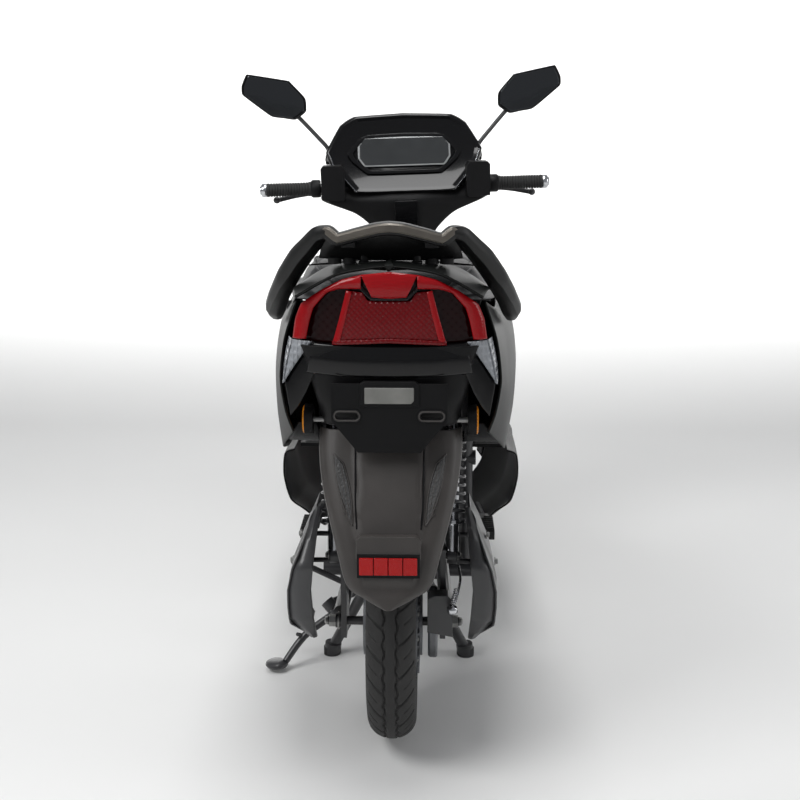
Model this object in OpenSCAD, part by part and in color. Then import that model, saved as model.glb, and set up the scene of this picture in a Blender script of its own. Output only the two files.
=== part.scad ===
// Electric moped: step-through scooter with a hub motor, a hinged seat,
// a centre stand and a side stand. +X is forward, +Y is left, +Z is up.
// The origin is on the floor at the middle of the length and the width.

/* [Chassis] */
// Distance between the two axles
wheelbase = 1300; // [1250:10:1420]
// Rear axle, behind the origin
rear_axle_back = 615; // [560:5:680]
// Steering head angle from vertical
rake = 25.5; // [22:0.5:28]
// Distance of the front axle ahead of the steering axis
fork_offset = 18; // [10:1:30]
// Steering angle at rest, to the left
steer_rest = 4; // [-10:1:10]
// Height of the lifted rear tyre above the floor, on the centre stand
rear_lift = 12; // [5:1:20]

/* [Wheels] */
// Outer diameter of both tyres
tyre_d = 412; // [380:2:430]
// Width of both tyres
tyre_w = 85; // [70:1:95]
// Diameter of the rim where the tyre sits
rim_d = 258; // [240:2:270]
// Diameter of the hub motor
motor_d = 196; // [160:2:210]
// Width of the hub motor
motor_w = 104; // [90:1:112]
// Diameter of both axles
axle_d = 16; // [12:1:20]
// Radial gap around an axle
axle_gap = 0.3; // [0.1:0.1:1]
// Diameter of the front brake disc
disc_d = 180; // [160:2:200]

/* [Fork and bars] */
// Distance between the two fork legs
leg_spacing = 170; // [160:2:190]
// Diameter of a fork leg
leg_d = 36; // [30:1:40]
// Distance of the fork crown above the front axle, along the steering axis
crown_up = 285; // [275:5:310]
// Diameter of the steering stem
stem_d = 30; // [24:1:34]
// Diameter of the handlebar tube
bar_d = 22; // [20:0.5:25]
// Half of the length of the handlebar
bar_half = 330; // [310:5:360]
// Height of the handlebar
bar_z = 926; // [900:2:960]
// Diameter of a grip
grip_d = 33; // [30:1:38]
// Length of a grip
grip_len = 104; // [90:2:120]
// Half of the width of the instrument pod
pod_half = 183; // [160:1:200]

/* [Body] */
// Height of the footboard above the floor
floor_z = 392; // [370:2:410]
// Half of the width of the footboard and its skirts
floor_half = 250; // [220:2:260]
// Thickness of a moulded panel
skin = 3.5; // [2.5:0.5:5]
// Half of the greatest width of the side panels
panel_half = 225; // [210:1:240]
// Height of the pillion part of the seat
pillion_z = 872; // [860:2:890]
// Height of the rider part of the seat
rider_z = 785; // [775:1:800]
// Half of the width of the seat
seat_half = 165; // [150:1:168]
// Length of the battery block
battery_len = 300; // [240:5:310]
// Width of the battery block
battery_w = 220; // [180:5:240]
// Wall of the box under the seat
box_wall = 3; // [2:0.5:5]
// Half of the width of the box under the seat
box_half = 116; // [100:2:120]

/* [Rear end] */
// Diameter of a shock absorber spring
spring_d = 48; // [40:1:52]
// Distance of a shock absorber from the middle
shock_y = 104; // [100:1:110]
// Half of the greatest width of the rear mudguard
guard_half = 117; // [100:1:125]
// Distance between the slots of the number plate bracket
plate_pitch = 134; // [110:1:140]
// Length of a slot of the number plate bracket
plate_slot_len = 34; // [20:1:40]
// Width of a slot of the number plate bracket
plate_slot_w = 9; // [7:0.5:12]
// Spacing of the carrier holes on the grab rail, across
carrier_pitch_y = 84; // [76:2:90]
// Spacing of the carrier holes on the grab rail, lengthways
carrier_pitch_x = 46; // [36:2:50]
// Diameter of the carrier holes on the grab rail
carrier_hole_d = 6.6; // [5.5:0.1:8.5]

/* [Stands] */
// Half of the width of the centre stand at its feet
stand_half = 138; // [130:1:150]
// Diameter of a centre stand leg
stand_d = 22; // [18:1:26]
// Diameter of the side stand arm
side_arm_d = 17; // [14:1:20]

/* [Hidden] */

$fn = 48;
tyre_r = tyre_d / 2;
rear_x = -rear_axle_back;
front_x = rear_x + wheelbase;
rear_axle_z = tyre_r + rear_lift;
// Unit vector up the steering axis
steer_up = [-sin(rake), 0, cos(rake)];
// A point of the steering axis, beside the front axle
steer_pt = [front_x - fork_offset * cos(rake), 0, tyre_r - fork_offset * sin(rake)];
// Where the steering axis is at a given height
function steer_x(z) = steer_pt[0] - (z - steer_pt[2]) * tan(rake);
// The floor lies between the seat post and the leg shield
floor_back = rear_x + 600;
floor_front = front_x - 400;
bar_x = steer_x(bar_z) + 18;
stand_pivot = [rear_x + 320, 0, 195];
stand_foot_x = rear_x + 358;
side_pivot = [rear_x + 330, 128, 104];
side_foot = [rear_x + 274, 241, 16];
// Direction of the folded side stand, and the axis it swings about
side_fold = [-1, 0.40, 0.05];
side_cross = cross(side_foot - side_pivot, side_fold);
side_axis = side_cross / norm(side_cross);

// ---- helpers ----

// Turns its children with the steering
module steered() {
  translate(steer_pt) rotate(a = steer_rest, v = steer_up) translate(-steer_pt)
    children();
}

// Its children and their mirror image in the middle plane
module both() {
  children();
  mirror([0, 1, 0]) children();
}

// A round rod between two points
module rod(a, b, d) {
  v = b - a;
  translate(a)
    rotate([0, acos(v[2] / norm(v)), atan2(v[1], v[0])])
      cylinder(h = norm(v), d = d);
}

// A box with its middle at a point
module block(at, size) {
  translate(at) cube(size, center = true);
}

// A cylinder across the vehicle, from y1 to y2
module across(x, z, y1, y2, d) {
  translate([x, y1, z]) rotate([-90, 0, 0]) cylinder(h = y2 - y1, d = d);
}

function mean(v) = [for (i = [0:2]) sum([for (p = v) p[i]]) / len(v)];
function sum(v, i = 0) = i < len(v) ? v[i] + sum(v, i + 1) : 0;
// Area vector of a ring of points
function area_of(v) = let (n = len(v), c = mean(v)) [for (k = [0:2])
  sum([for (i = [0:n - 1]) cross(v[i] - c, v[(i + 1) % n] - c)[k]])];

// A closed solid through rings that have the same even number of points.
// Point i of a ring lies across from point n - 1 - i, so each end is a strip
module loft(rings) {
  ahead = mean(rings[1]) - mean(rings[0]);
  r = area_of(rings[0]) * ahead > 0 ? rings : [for (v = rings) flip(v)];
  n = len(r[0]);
  m = len(r);
  polyhedron(
    points = [for (v = r) for (p = v) p],
    faces = concat(
      [for (i = [0:n / 2 - 2]) for (f = [[i, i + 1, n - 2 - i], [i, n - 2 - i, n - 1 - i]]) f],
      [for (j = [0:m - 2]) for (i = [0:n - 1])
        [j * n + (i + 1) % n, j * n + i, (j + 1) * n + i]],
      [for (j = [0:m - 2]) for (i = [0:n - 1])
        [j * n + (i + 1) % n, (j + 1) * n + i, (j + 1) * n + (i + 1) % n]],
      [for (i = [0:n / 2 - 2]) for (f = [[n - 2 - i, i + 1, i], [n - 1 - i, n - 2 - i, i]])
        [for (k = f) (m - 1) * n + k]]));
}

// Ring round a point of a path with a flat oval section, 2a wide and 2b high
function bar_ring(p, t, a, b) =
  let (s0 = cross(t, [0, 0, 1]), s = s0 / norm(s0), n = cross(s, t) / norm(t))
  [for (q = [[1, -0.4], [1, 0.4], [0.5, 1], [-0.5, 1], [-1, 0.4], [-1, -0.4], [-0.5, -1], [0.5, -1]])
    p + a * q[0] * s + b * q[1] * n];

function flip(v) = [for (i = [len(v) - 1:-1:0]) v[i]];

// Ring of a left side plate at x: an outer line [y, z] downwards, and the
// same line moved in by t
function side_ring(x, yz, t) = concat(
  [for (p = yz) [x, p[0], p[1]]],
  [for (p = flip(yz)) [x, p[0] - t, p[1]]]);

// Ring of a plate bent round the middle plane at height z. The line [x, y]
// starts at the left edge and ends beside the middle; the plate is inside
// it by t, towards ahead * X
function bent_ring(z, xy, t, ahead) = concat(
  [for (p = xy) [p[0], p[1], z]],
  [for (p = flip(xy)) [p[0], -p[1], z]],
  [for (p = xy) [p[0] + ahead * t, -max(p[1] - t, 0.5), z]],
  [for (p = flip(xy)) [p[0] + ahead * t, max(p[1] - t, 0.5), z]]);

// Ring of a roof plate at x: a line [y, z] from the left edge to the middle
function roof_ring(x, yz, t) = concat(
  [for (p = yz) [x, p[0], p[1]]],
  [for (p = flip(yz)) [x, -p[0], p[1]]],
  [for (p = yz) [x, -p[0], p[1] - t]],
  [for (p = flip(yz)) [x, p[0], p[1] - t]]);

// Ring of a body that is symmetric: the left half [y, z] from the top down
function body_ring(x, yz) = concat(
  [for (p = yz) [x, p[0], p[1]]],
  [for (p = flip(yz)) [x, -p[0], p[1]]]);

// ---- chassis ----

rail_y = 138;
rail_d = 30;

module main_frame() color("#1d1d20") {
  head_low = [steer_x(560), 0, 560];
  head_high = [steer_x(720), 0, 720];
  difference() {
    union() {
      rod(head_low, head_high, 50);
      rod([steer_x(640), 0, 640], [floor_front - 10, 0, 330], 44);
      rod([floor_front - 8, 0, 350], [floor_front - 20, 0, 165], 42);
    }
    rod(head_low - 20 * steer_up, head_high + 20 * steer_up, stem_d + 6);
  }
  across(floor_front - 20, 165, -rail_y - 20, rail_y + 20, 34);
  both() {
    rod([floor_front - 20, rail_y, 165], [rear_x + 430, rail_y, 165], rail_d);
    rod([rear_x + 430, rail_y, 152], [rear_x + 456, rail_y, 412], rail_d - 2);
    rod([rear_x + 456, rail_y, 390], [rear_x + 430, rail_y, 570], rail_d - 3);
    rod([rear_x + 440, rail_y, 557], [rear_x - 100, rail_y, 702], 26);
    // upper mount of the shock absorber
    block([rear_x + 22, rail_y - 14, 625], [40, 12, 110]);
    across(rear_x + 22, 590, shock_y - 12, rail_y - 12, 14);
    // stand bracket
    block([rear_x + 366, 76, 198], [118, 8, 26]);
    block([rear_x + 424, 76, 186], [12, 8, 40]);
  }
  across(rear_x + 430, 165, -rail_y - 22, rail_y + 22, 34);
  across(rear_x + 455, 400, -rail_y - 20, rail_y + 20, 31);
  across(rear_x + 430, 563, -rail_y - 20, rail_y + 20, 34);
  across(rear_x - 90, 699, -rail_y - 18, rail_y + 18, 30);
  across(stand_pivot[0], stand_pivot[2], -84, 84, 12);
  // side stand bracket with its pin
  rod(side_pivot + 9 * side_axis, side_pivot + 29 * side_axis, 28);
  rod(side_pivot - 9 * side_axis, side_pivot + 12 * side_axis, 9.6);
  rod(side_pivot + 24 * side_axis, [rear_x + 424, 44, 130], 14);
  rod([rear_x + 424, 44, 116], [rear_x + 430, 44, 165], 16);
  // seat hinge post, lugs and pin
  rod([rear_x + 430, 0, 563], [rear_x + 600, 0, 660], 30);
  block([rear_x + 612, 0, 664], [44, 96, 14]);
  for (y = [-43, 43])
    block([rear_x + 634, y, 682], [22, 10, 48]);
  across(rear_x + 636, 700, -46, 46, 8);
}

module battery_pack() color("#26282b")
  block([(floor_front - 40 + rear_x + 480) / 2 + 10, 0, 276],
    [battery_len, battery_w, 170]);

module footboard() color("#1a1a1c")
  translate([0, 0, floor_z - 8])
    linear_extrude(height = 8)
      polygon([
        [floor_back, floor_half - 28], [floor_front - 70, floor_half - 28],
        [floor_front - 10, floor_half - 60], [floor_front - 10, -floor_half + 60],
        [floor_front - 70, -floor_half + 28], [floor_back, -floor_half + 28]]);

module side_skirts() color("#17181a")
  both() {
    x1 = rear_x + 500;
    x2 = floor_front + 60;
    f = floor_half;
    loft([
      side_ring(x1, [[f - 24, 405], [f - 2, 392], [f, 340], [f - 16, 285], [f - 46, 268]], skin),
      side_ring(x1 + 90, [[f - 24, 400], [f, 388], [f, 335], [f - 20, 270], [f - 80, 205]], skin),
      side_ring(x2 - 100, [[f - 24, 400], [f - 4, 388], [f - 6, 330], [f - 30, 255], [f - 90, 190]], skin),
      side_ring(x2, [[f - 52, 400], [f - 44, 388], [f - 46, 320], [f - 62, 255], [f - 100, 200]], skin)]);
  }

module leg_shield() color("#151517") {
  loft([
    bent_ring(404, [[front_x - 352, 190], [front_x - 394, 150], [front_x - 398, 60]], skin, 1),
    bent_ring(520, [[front_x - 322, 202], [front_x - 362, 158], [front_x - 370, 70]], skin, 1),
    bent_ring(680, [[front_x - 290, 198], [front_x - 338, 150], [front_x - 346, 70]], skin, 1),
    bent_ring(754, [[front_x - 284, 166], [front_x - 320, 124], [front_x - 326, 60]], skin, 1)]);
  // shelf round the steering stem
  difference() {
    translate([0, 0, 754.5]) linear_extrude(height = skin)
      polygon([
        [front_x - 326, 60], [front_x - 320, 124], [front_x - 284, 152], [front_x - 240, 136],
        [front_x - 204, 74], [front_x - 190, 20], [front_x - 190, -20], [front_x - 204, -74],
        [front_x - 240, -136], [front_x - 284, -152], [front_x - 320, -124], [front_x - 326, -60]]);
    translate([steer_x(756), 0, 745]) cylinder(h = 20, d = stem_d + 34);
  }
}

module front_apron() color("#0e0e10") {
  // nose, open at the back
  loft([
    bent_ring(540, [[front_x - 276, 216], [front_x - 200, 196], [front_x - 84, 112], [front_x - 44, 20]], skin, -1),
    bent_ring(600, [[front_x - 276, 218], [front_x - 198, 198], [front_x - 100, 108], [front_x - 66, 20]], skin, -1),
    bent_ring(700, [[front_x - 276, 208], [front_x - 208, 186], [front_x - 130, 92], [front_x - 108, 20]], skin, -1),
    bent_ring(764, [[front_x - 276, 166], [front_x - 230, 148], [front_x - 186, 82], [front_x - 172, 20]], skin, -1)]);
  // lower wings behind the wheel
  both()
    loft([
      side_ring(front_x - 338, [[206, 400], [206, 320], [180, 230]], skin),
      side_ring(front_x - 300, [[214, 534], [214, 380], [196, 240]], skin),
      side_ring(front_x - 262, [[214, 534], [200, 400], [180, 260]], skin)]);
}

module front_indicators() color("#e8a33a")
  both()
    loft([
      [for (p = [[201, 690], [207, 662], [207, 640], [196, 640], [196, 662], [190, 690]])
        [front_x - 205, p[0], p[1]]],
      [for (p = [[168, 700], [176, 668], [177, 640], [166, 640], [165, 668], [157, 700]])
        [front_x - 160, p[0], p[1]]]]);

module seat_post_cover() color("#161618")
  loft([
    bent_ring(404, [[rear_x + 560, 158], [rear_x + 596, 140], [rear_x + 600, 40]], skin, -1),
    bent_ring(560, [[rear_x + 570, 150], [rear_x + 606, 126], [rear_x + 612, 40]], skin, -1),
    bent_ring(638, [[rear_x + 576, 128], [rear_x + 608, 106], [rear_x + 614, 34]], skin, -1)]);

module side_panels() color("#2a2c2b")
  both()
    loft([
      side_ring(rear_x - 150, [[152, 822], [172, 760], [180, 694], [172, 640], [160, 606]], skin),
      side_ring(rear_x - 30, [[174, 792], [190, 740], [198, 672], [197, 610], [190, 552]], skin),
      side_ring(rear_x + 120, [[180, 788], [207, 736], [panel_half - 8, 664], [214, 590], [200, 510]], skin),
      side_ring(rear_x + 260, [[186, 784], [panel_half - 10, 732], [panel_half, 660], [220, 580], [204, 490]], skin),
      side_ring(rear_x + 340, [[180, 704], [panel_half - 16, 680], [panel_half - 4, 620], [216, 560], [202, 480]], skin),
      side_ring(rear_x + 480, [[158, 700], [188, 668], [198, 590], [192, 530], [180, 460]], skin),
      side_ring(rear_x + 566, [[118, 694], [150, 650], [170, 560], [170, 480], [166, 412]], skin)]);

module under_seat_box() color("#101112")
  difference() {
    union() {
      block([rear_x + 250, 0, 610], [310, 2 * box_half, 150]);
      block([rear_x + 250, 0, 686], [334, 2 * box_half + 20, 6]);
    }
    block([rear_x + 250, 0, 640 + box_wall], [310 - 2 * box_wall, 2 * (box_half - box_wall), 204]);
  }

// ---- rear end ----

module tail_cover() color("#0b0b0c")
  loft([
    roof_ring(rear_x - 205, [[148, 838], [84, 874], [8, 886]], skin),
    roof_ring(rear_x - 110, [[160, 836], [96, 872], [8, 884]], skin),
    roof_ring(rear_x - 32, [[168, 824], [110, 862], [8, 874]], skin)]);

module tail_lamp() color("#9c1218")
  loft([
    body_ring(rear_x - 216, [[6, 874], [80, 862], [140, 826], [156, 768], [100, 766]]),
    body_ring(rear_x - 150, [[6, 868], [74, 856], [128, 818], [142, 768], [100, 766]])]);

module rear_indicators() color("#d9dde0")
  both()
    loft([
      side_ring(rear_x - 202, [[155, 762], [165, 728], [173, 692]], 9),
      side_ring(rear_x - 158, [[164, 762], [171, 728], [174, 694]], 9)]);

module tail_underside() color("#111112") {
  difference() {
    loft([
      bent_ring(618, [[rear_x - 126, 112], [rear_x - 150, 108], [rear_x - 166, 84]], skin, 1),
      bent_ring(664, [[rear_x - 122, 122], [rear_x - 172, 118], [rear_x - 190, 92]], skin, 1),
      bent_ring(758, [[rear_x - 112, 150], [rear_x - 186, 144], [rear_x - 204, 118]], skin, 1)]);
    both() across(rear_x - 146, 626, 90, 140, 10);
    // room behind the plate slots
    both() rod([rear_x - 230, plate_pitch / 2, 648], [rear_x - 120, plate_pitch / 2, 648], 22);
  }
}

// Left half of the grab rail, from its tip to the middle
rail_path = [
  [40, 203, 770], [-20, 196, 802], [-80, 172, 848], [-128, 134, 900],
  [-158, 104, 928], [-168, 78, 924], [-182, 8, 940]];

module grab_rail() color("#6b6660")
  translate([rear_x, 0, 0]) {
    path = concat(rail_path, [for (p = flip(rail_path)) [p[0], -p[1], p[2]]]);
    n = len(path) - 1;
    loft([for (i = [0:n]) bar_ring(path[i], path[min(i + 1, n)] - path[max(i - 1, 0)], 12, 11)]);
    // carrier plate on four posts
    difference() {
      union() {
        block([-117, 0, 920], [78, 124, 6]);
        both() block([-158, 66, 914], [24, 22, 10]);
        for (x = [-140, -94])
          for (y = [-42, 42])
            translate([x, y, 881 - (x == -94 ? 2 : 0)]) cylinder(h = 38, d = 14);
      }
      for (x = [-1, 1])
        for (y = [-1, 1])
          translate([-117 + x * carrier_pitch_x / 2, y * carrier_pitch_y / 2, 890])
            cylinder(h = 70, d = carrier_hole_d);
    }
  }

module plate_bracket() color("#19191a")
  translate([rear_x, 0, 0]) {
    difference() {
      translate([-214, 0, 0])
        rotate([90, 0, 90])
          linear_extrude(height = skin)
            polygon([[-92, 700], [-92, 640], [-50, 588], [50, 588], [92, 640], [92, 700]]);
      for (s = [-1, 1]) {
        translate([-216, s * plate_pitch / 2, 648]) {
          cube([12, plate_slot_len - plate_slot_w, plate_slot_w], center = true);
          for (e = [-1, 1])
            translate([0, e * (plate_slot_len - plate_slot_w) / 2, 0])
              rotate([0, 90, 0]) cylinder(h = 12, d = plate_slot_w, center = true);
        }
      }
    }
  }

module side_reflectors() color("#d98a1f")
  both() {
    across(rear_x - 146, 626, 126, 143, 52);
    across(rear_x - 146, 626, 104, 127, 9.6);
  }

module rear_mudguard() color("#23201f")
  loft([
    bent_ring(345, [[rear_x - 262, 12], [rear_x - 274, 8], [rear_x - 280, 4]], skin, 1),
    bent_ring(376, [[rear_x - 236, 69], [rear_x - 254, 66], [rear_x - 268, 48]], skin, 1),
    bent_ring(474, [[rear_x - 196, 98], [rear_x - 216, 95], [rear_x - 232, 70]], skin, 1),
    bent_ring(572, [[rear_x - 148, guard_half], [rear_x - 168, guard_half - 3], [rear_x - 186, 86]], skin, 1),
    bent_ring(614, [[rear_x - 124, guard_half], [rear_x - 146, guard_half - 3], [rear_x - 166, 86]], skin, 1)]);

module rear_reflector() color("#a3161c") {
  block([rear_x - 266, 0, 424], [10, 102, 50]);
  block([rear_x - 274, 0, 420], [8, 93, 30]);
}

module swingarm() color("#1b1b1d") {
  px = rear_x + 380;
  difference() {
    union() {
      both() {
        rod([px, 82, 248], [rear_x + 30, 97, rear_axle_z + 4], 26);
        block([rear_x + 14, 88, rear_axle_z + 30], [70, 10, 110]);
        block([rear_x - 10, 88, 320], [34, 10, 82]);
        across(rear_x - 14, 347, 86, 118, 12);
      }
      across(px, 248, -97, 97, 38);
      across(px - 80, 245, -90, 90, 20);
      // fixed axle with its nuts
      across(rear_x, rear_axle_z, -118, 118, axle_d);
      both() across(rear_x, rear_axle_z, 92.5, 104, 26);
    }
  }
}

// The two shock absorbers lean a little forward
shock_low = [rear_x - 14, shock_y, 347];
shock_high = [rear_x + 22, shock_y, 590];
module shock_absorbers() color("#c9ccd0")
  both() {
    v = (shock_high - shock_low) / norm(shock_high - shock_low);
    difference() {
      union() {
        rod(shock_low, shock_low + 150 * v, 22);
        rod(shock_low + 140 * v, shock_high, 14);
        rod(shock_low + 57 * v, shock_low + 66 * v, spring_d - 2);
        rod(shock_low + 216 * v, shock_low + 222 * v, spring_d - 2);
        across(shock_low[0], shock_low[2], shock_y - 9, shock_y + 9, 28);
        across(shock_high[0], shock_high[2], shock_y - 9, shock_y + 9, 28);
      }
      across(shock_low[0], shock_low[2], shock_y - 20, shock_y + 20, 12.2);
      across(shock_high[0], shock_high[2], shock_y - 20, shock_y + 20, 14.2);
    }
  }

module shock_springs() color("#2b2c2f")
  both() {
    v = (shock_high - shock_low) / norm(shock_high - shock_low);
    difference() {
      rod(shock_low + 66 * v, shock_low + 216 * v, spring_d);
      rod(shock_low + 60 * v, shock_low + 220 * v, 30);
    }
  }

module side_guards() color("#3a3b3c")
  both() {
    t = 4;
    // the plate stands 2 mm outside the spring
    out = shock_y + spring_d / 2 - 128;
    line = [for (p = [[134, 442], [150, 404], [172, 350], [180, 312], [179, 250], [150, 224]]) p + [out, 0]];
    intersection() {
      translate([rear_x - 110, 0, 0]) rotate([90, 0, 90]) linear_extrude(height = 200)
        polygon(concat(line, [for (p = flip(line)) p - [t, 0]]));
      translate([rear_x, 220, 0]) rotate([90, 0, 0]) linear_extrude(height = 120)
        polygon([[-20, 450], [60, 450], [84, 380], [84, 300], [40, 216], [-70, 216], [-100, 250],
          [-100, 340], [-60, 400]]);
    }
    // the bracket stands just ahead of the spring
    bracket_x = rear_x + spring_d / 2 + 6;
    across(bracket_x, 372, 118, 164 + out, 9);
    across(bracket_x, 322, 118, 179 + out, 9);
    block([bracket_x, 113, 347], [12, 11, 60]);
  }

module rear_brake() color("#4a4b4e")
  difference() {
    union() {
      across(rear_x, rear_axle_z, -80, -62, 128);
      block([rear_x - 74, -84, 256], [44, 22, 70]);
    }
    across(rear_x, rear_axle_z, -120, -40, axle_d + 1);
  }

module pillion_footrests() color("#202022")
  both() {
    rod([rear_x + 444, 161, 300], [rear_x + 330, 172, 300], 16);
    block([rear_x + 330, 170, 300], [30, 22, 26]);
    block([rear_x + 280, 180, 302], [96, 20, 30]);
  }

// ---- seat ----

// x, bottom, top, half width at the bottom, half width at the top
seat_stations = [
  [-20, 800, pillion_z - 32, 132, 100], [10, 800, pillion_z - 8, 156, 128],
  [100, 800, pillion_z, seat_half, 140], [220, 800, pillion_z - 8, seat_half, 142],
  [270, 800, pillion_z - 22, seat_half, 142], [310, 768, rider_z + 28, seat_half - 2, 140],
  [360, 726, rider_z, seat_half - 5, 138], [480, 718, rider_z - 3, seat_half - 18, 118],
  [580, 716, rider_z + 2, 112, 80], [630, 718, rider_z - 12, 60, 40]];

module seat_base() color("#141415") {
  loft([for (s = seat_stations)
    body_ring(rear_x + s[0], [[s[3] - 8, s[1] - 2], [s[3] - 8, s[1] - 10]])]);
  difference() {
    union() {
      across(rear_x + 636, 700, -34, 34, 18);
      block([rear_x + 618, 0, 705], [36, 60, 8]);
    }
    across(rear_x + 636, 700, -40, 40, 8.4);
  }
}

module seat_cushion() color("#26272a")
  loft([for (s = seat_stations)
    let (b = s[1], t = s[2], w = s[3], u = s[4])
    body_ring(rear_x + s[0], [[6, t], [u * 0.6, t - 2], [u, t - 14], [w, b + 16], [w - 4, b]])]);

// ---- rear wheel ----

// Cross-section of a tyre, [radius, y], for the half with y > 0
function tyre_profile(r, w, rim) = concat(
  [for (a = [0:15:90]) [r - w * 0.42 * (1 - cos(a)), w / 2 * sin(a)]],
  [[rim + 14, w * 0.44], [rim, w * 0.38]]);

module tyre(x, z) {
  half = tyre_profile(tyre_r, tyre_w, rim_d / 2);
  translate([x, 0, z]) rotate([90, 0, 0]) rotate_extrude($fn = 96)
    polygon(concat(half, [for (p = flip(half)) if (p[1] > 0) [p[0], -p[1]]]));
}

module rim(x, z, hub_d, hub_w, hole_d, spokes) {
  translate([x, 0, z]) rotate([90, 0, 0]) {
    rotate_extrude($fn = 96)
      polygon([
        [rim_d / 2 - 0.4, 30], [rim_d / 2 - 0.4, -30], [rim_d / 2 - 10, -34],
        [rim_d / 2 - 13, -26], [rim_d / 2 - 13, 26], [rim_d / 2 - 10, 34]]);
    difference() {
      cylinder(h = hub_w, d = hub_d, center = true);
      cylinder(h = hub_w + 10, d = hole_d, center = true);
    }
    for (i = [0:spokes - 1])
      rotate(i * 360 / spokes)
        translate([hub_d / 2 - 3, -11, -15])
          cube([rim_d / 2 - hub_d / 2 - 8, 22, 30]);
  }
}

module rear_tyre() color("#1b1b1b") tyre(rear_x, rear_axle_z);

module rear_rim() color("#2e2f31")
  rim(rear_x, rear_axle_z, motor_d + 14, 44, motor_d + 0.4, 6);

module hub_motor() color("#5b5d60")
  difference() {
    union() {
      across(rear_x, rear_axle_z, -motor_w / 2 + 8, motor_w / 2 - 8, motor_d);
      across(rear_x, rear_axle_z, -motor_w / 2, motor_w / 2, 120);
    }
    across(rear_x, rear_axle_z, -80, 80, axle_d + 2 * axle_gap);
  }

// ---- steering ----

// A point on the line of a fork leg, u above the axle
function leg_pt(u, y) = [front_x, y, tyre_r] + u * steer_up;

module front_fork() color("#8d9094")
  steered() {
    both()
      rod(leg_pt(-22, leg_spacing / 2), leg_pt(crown_up + 4, leg_spacing / 2), leg_d);
    translate(leg_pt(crown_up, 0) + [-8, 0, 0])
      rotate([0, -rake, 0])
        cube([66, leg_spacing + 44, 30], center = true);
    rod(steer_pt + crown_up * steer_up, [steer_x(bar_z - 33), 0, bar_z - 33], stem_d);
    across(front_x, tyre_r, -leg_spacing / 2 - 24, leg_spacing / 2 + 24, axle_d);
  }

module front_mudguard() color("#121213")
  steered() {
    translate([front_x, 0, tyre_r]) rotate([90, 0, 0])
      rotate([0, 0, 8]) rotate_extrude(angle = 142, $fn = 96)
        polygon([
          [tyre_r + 10, 52], [tyre_r + 24, 40], [tyre_r + 28, 0], [tyre_r + 24, -40],
          [tyre_r + 10, -52], [tyre_r - 14, -56], [tyre_r - 14, -53.5], [tyre_r + 8, -49.5],
          [tyre_r + 21, -38], [tyre_r + 25, 0], [tyre_r + 21, 38], [tyre_r + 8, 49.5],
          [tyre_r - 14, 53.5], [tyre_r - 14, 56]]);
    // the tabs reach from the guard's edge to the legs
    tab = leg_spacing / 2 - leg_d / 2 - 54;
    both() translate(leg_pt(208, 54 + tab / 2)) rotate([0, -rake, 0]) cube([18, tab, 20], center = true);
  }

module front_caliper() color("#7a1d1d")
  steered()
    difference() {
      union() {
        // from beside the disc into the fork leg
        reach = leg_spacing / 2 - 57;
        block([front_x - 77, 49 + reach / 2, tyre_r + 56], [38, reach, 60]);
      }
      across(front_x, tyre_r, 54, 62, disc_d + 12);
    }

module handlebar() color("#3a3b3e")
  steered() {
    across(bar_x, bar_z, -bar_half, bar_half, bar_d);
    block([bar_x - 4, 0, bar_z - 3], [40, 46, 42]);
  }

module grips() color("#1a1a1a")
  steered()
    both() {
      difference() {
        union() {
          across(bar_x, bar_z, bar_half - 5 - grip_len, bar_half - 5, grip_d);
          across(bar_x, bar_z, bar_half - 27 - grip_len, bar_half - 4 - grip_len, grip_d + 9);
        }
        across(bar_x, bar_z, 0, bar_half + 1, bar_d + 0.6);
      }
      across(bar_x, bar_z, bar_half + 1, bar_half + 11, grip_d - 3);
    }

module brake_levers() color("#161617")
  steered()
    both() {
      rod([bar_x + 34, 210, bar_z - 10], [bar_x + 30, 304, bar_z - 26], 11);
      translate([bar_x + 30, 304, bar_z - 26]) sphere(d = 17);
      block([bar_x + 36, 205, bar_z - 8], [20, 16, 20]);
    }

module switch_housings() color("#202022")
  steered()
    both()
      difference() {
        block([bar_x + 15, 168, bar_z + 14], [58, 56, 82]);
        across(bar_x, bar_z, 120, 220, bar_d + 0.6);
      }

// Edge of the pod, [y, z] above the bar, from the top middle down the left
pod_line = [[6, 168], [114, 163], [148, 142], [pod_half, 82], [pod_half - 14, 48], [119, -11], [6, -13]];
// How far back the face of the pod is at a height above the bar
function pod_face(z) = -44 + 64 * (z + 12) / 180;

module instrument_pod() color("#0a0a0b")
  steered()
    translate([bar_x, 0, bar_z])
      difference() {
        loft([
          mirrored([for (p = pod_line) [pod_face(p[1]), p[0], p[1]]]),
          mirrored([for (p = pod_line) [pod_face(p[1]) + 8, p[0], p[1]]]),
          mirrored([for (p = pod_line) [pod_face(p[1]) + 24, p[0] * 0.8, 74 + (p[1] - 74) * 0.93]]),
          mirrored([for (p = pod_line) [150, p[0] * 0.62, 62 + (p[1] - 78) * 0.6]])]);
        // room for the handlebar, its clamp and the switch housings
        translate([5, 0, -5]) cube([62, 340, 64], center = true);
        both() translate([10, 168, 0]) cube([72, 60, 114], center = true);
      }

// A left half of points and its mirror image
function mirrored(v) = concat(v, [for (p = flip(v)) [p[0], -p[1], p[2]]]);

module handlebar_cover() color("#131314")
  steered()
    translate([bar_x, 0, 0])
      loft([
        bent_ring(bar_z - 130, [[74, 60], [-8, 58], [-22, 30]], skin, 1),
        bent_ring(bar_z - 98, [[70, 82], [-20, 74], [-32, 34]], skin, 1),
        bent_ring(bar_z - 62, [[50, 124], [-26, 112], [-40, 36]], skin, 1),
        bent_ring(bar_z - 30, [[14, 196], [-26, 180], [-46, 38]], skin, 1)]);

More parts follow.
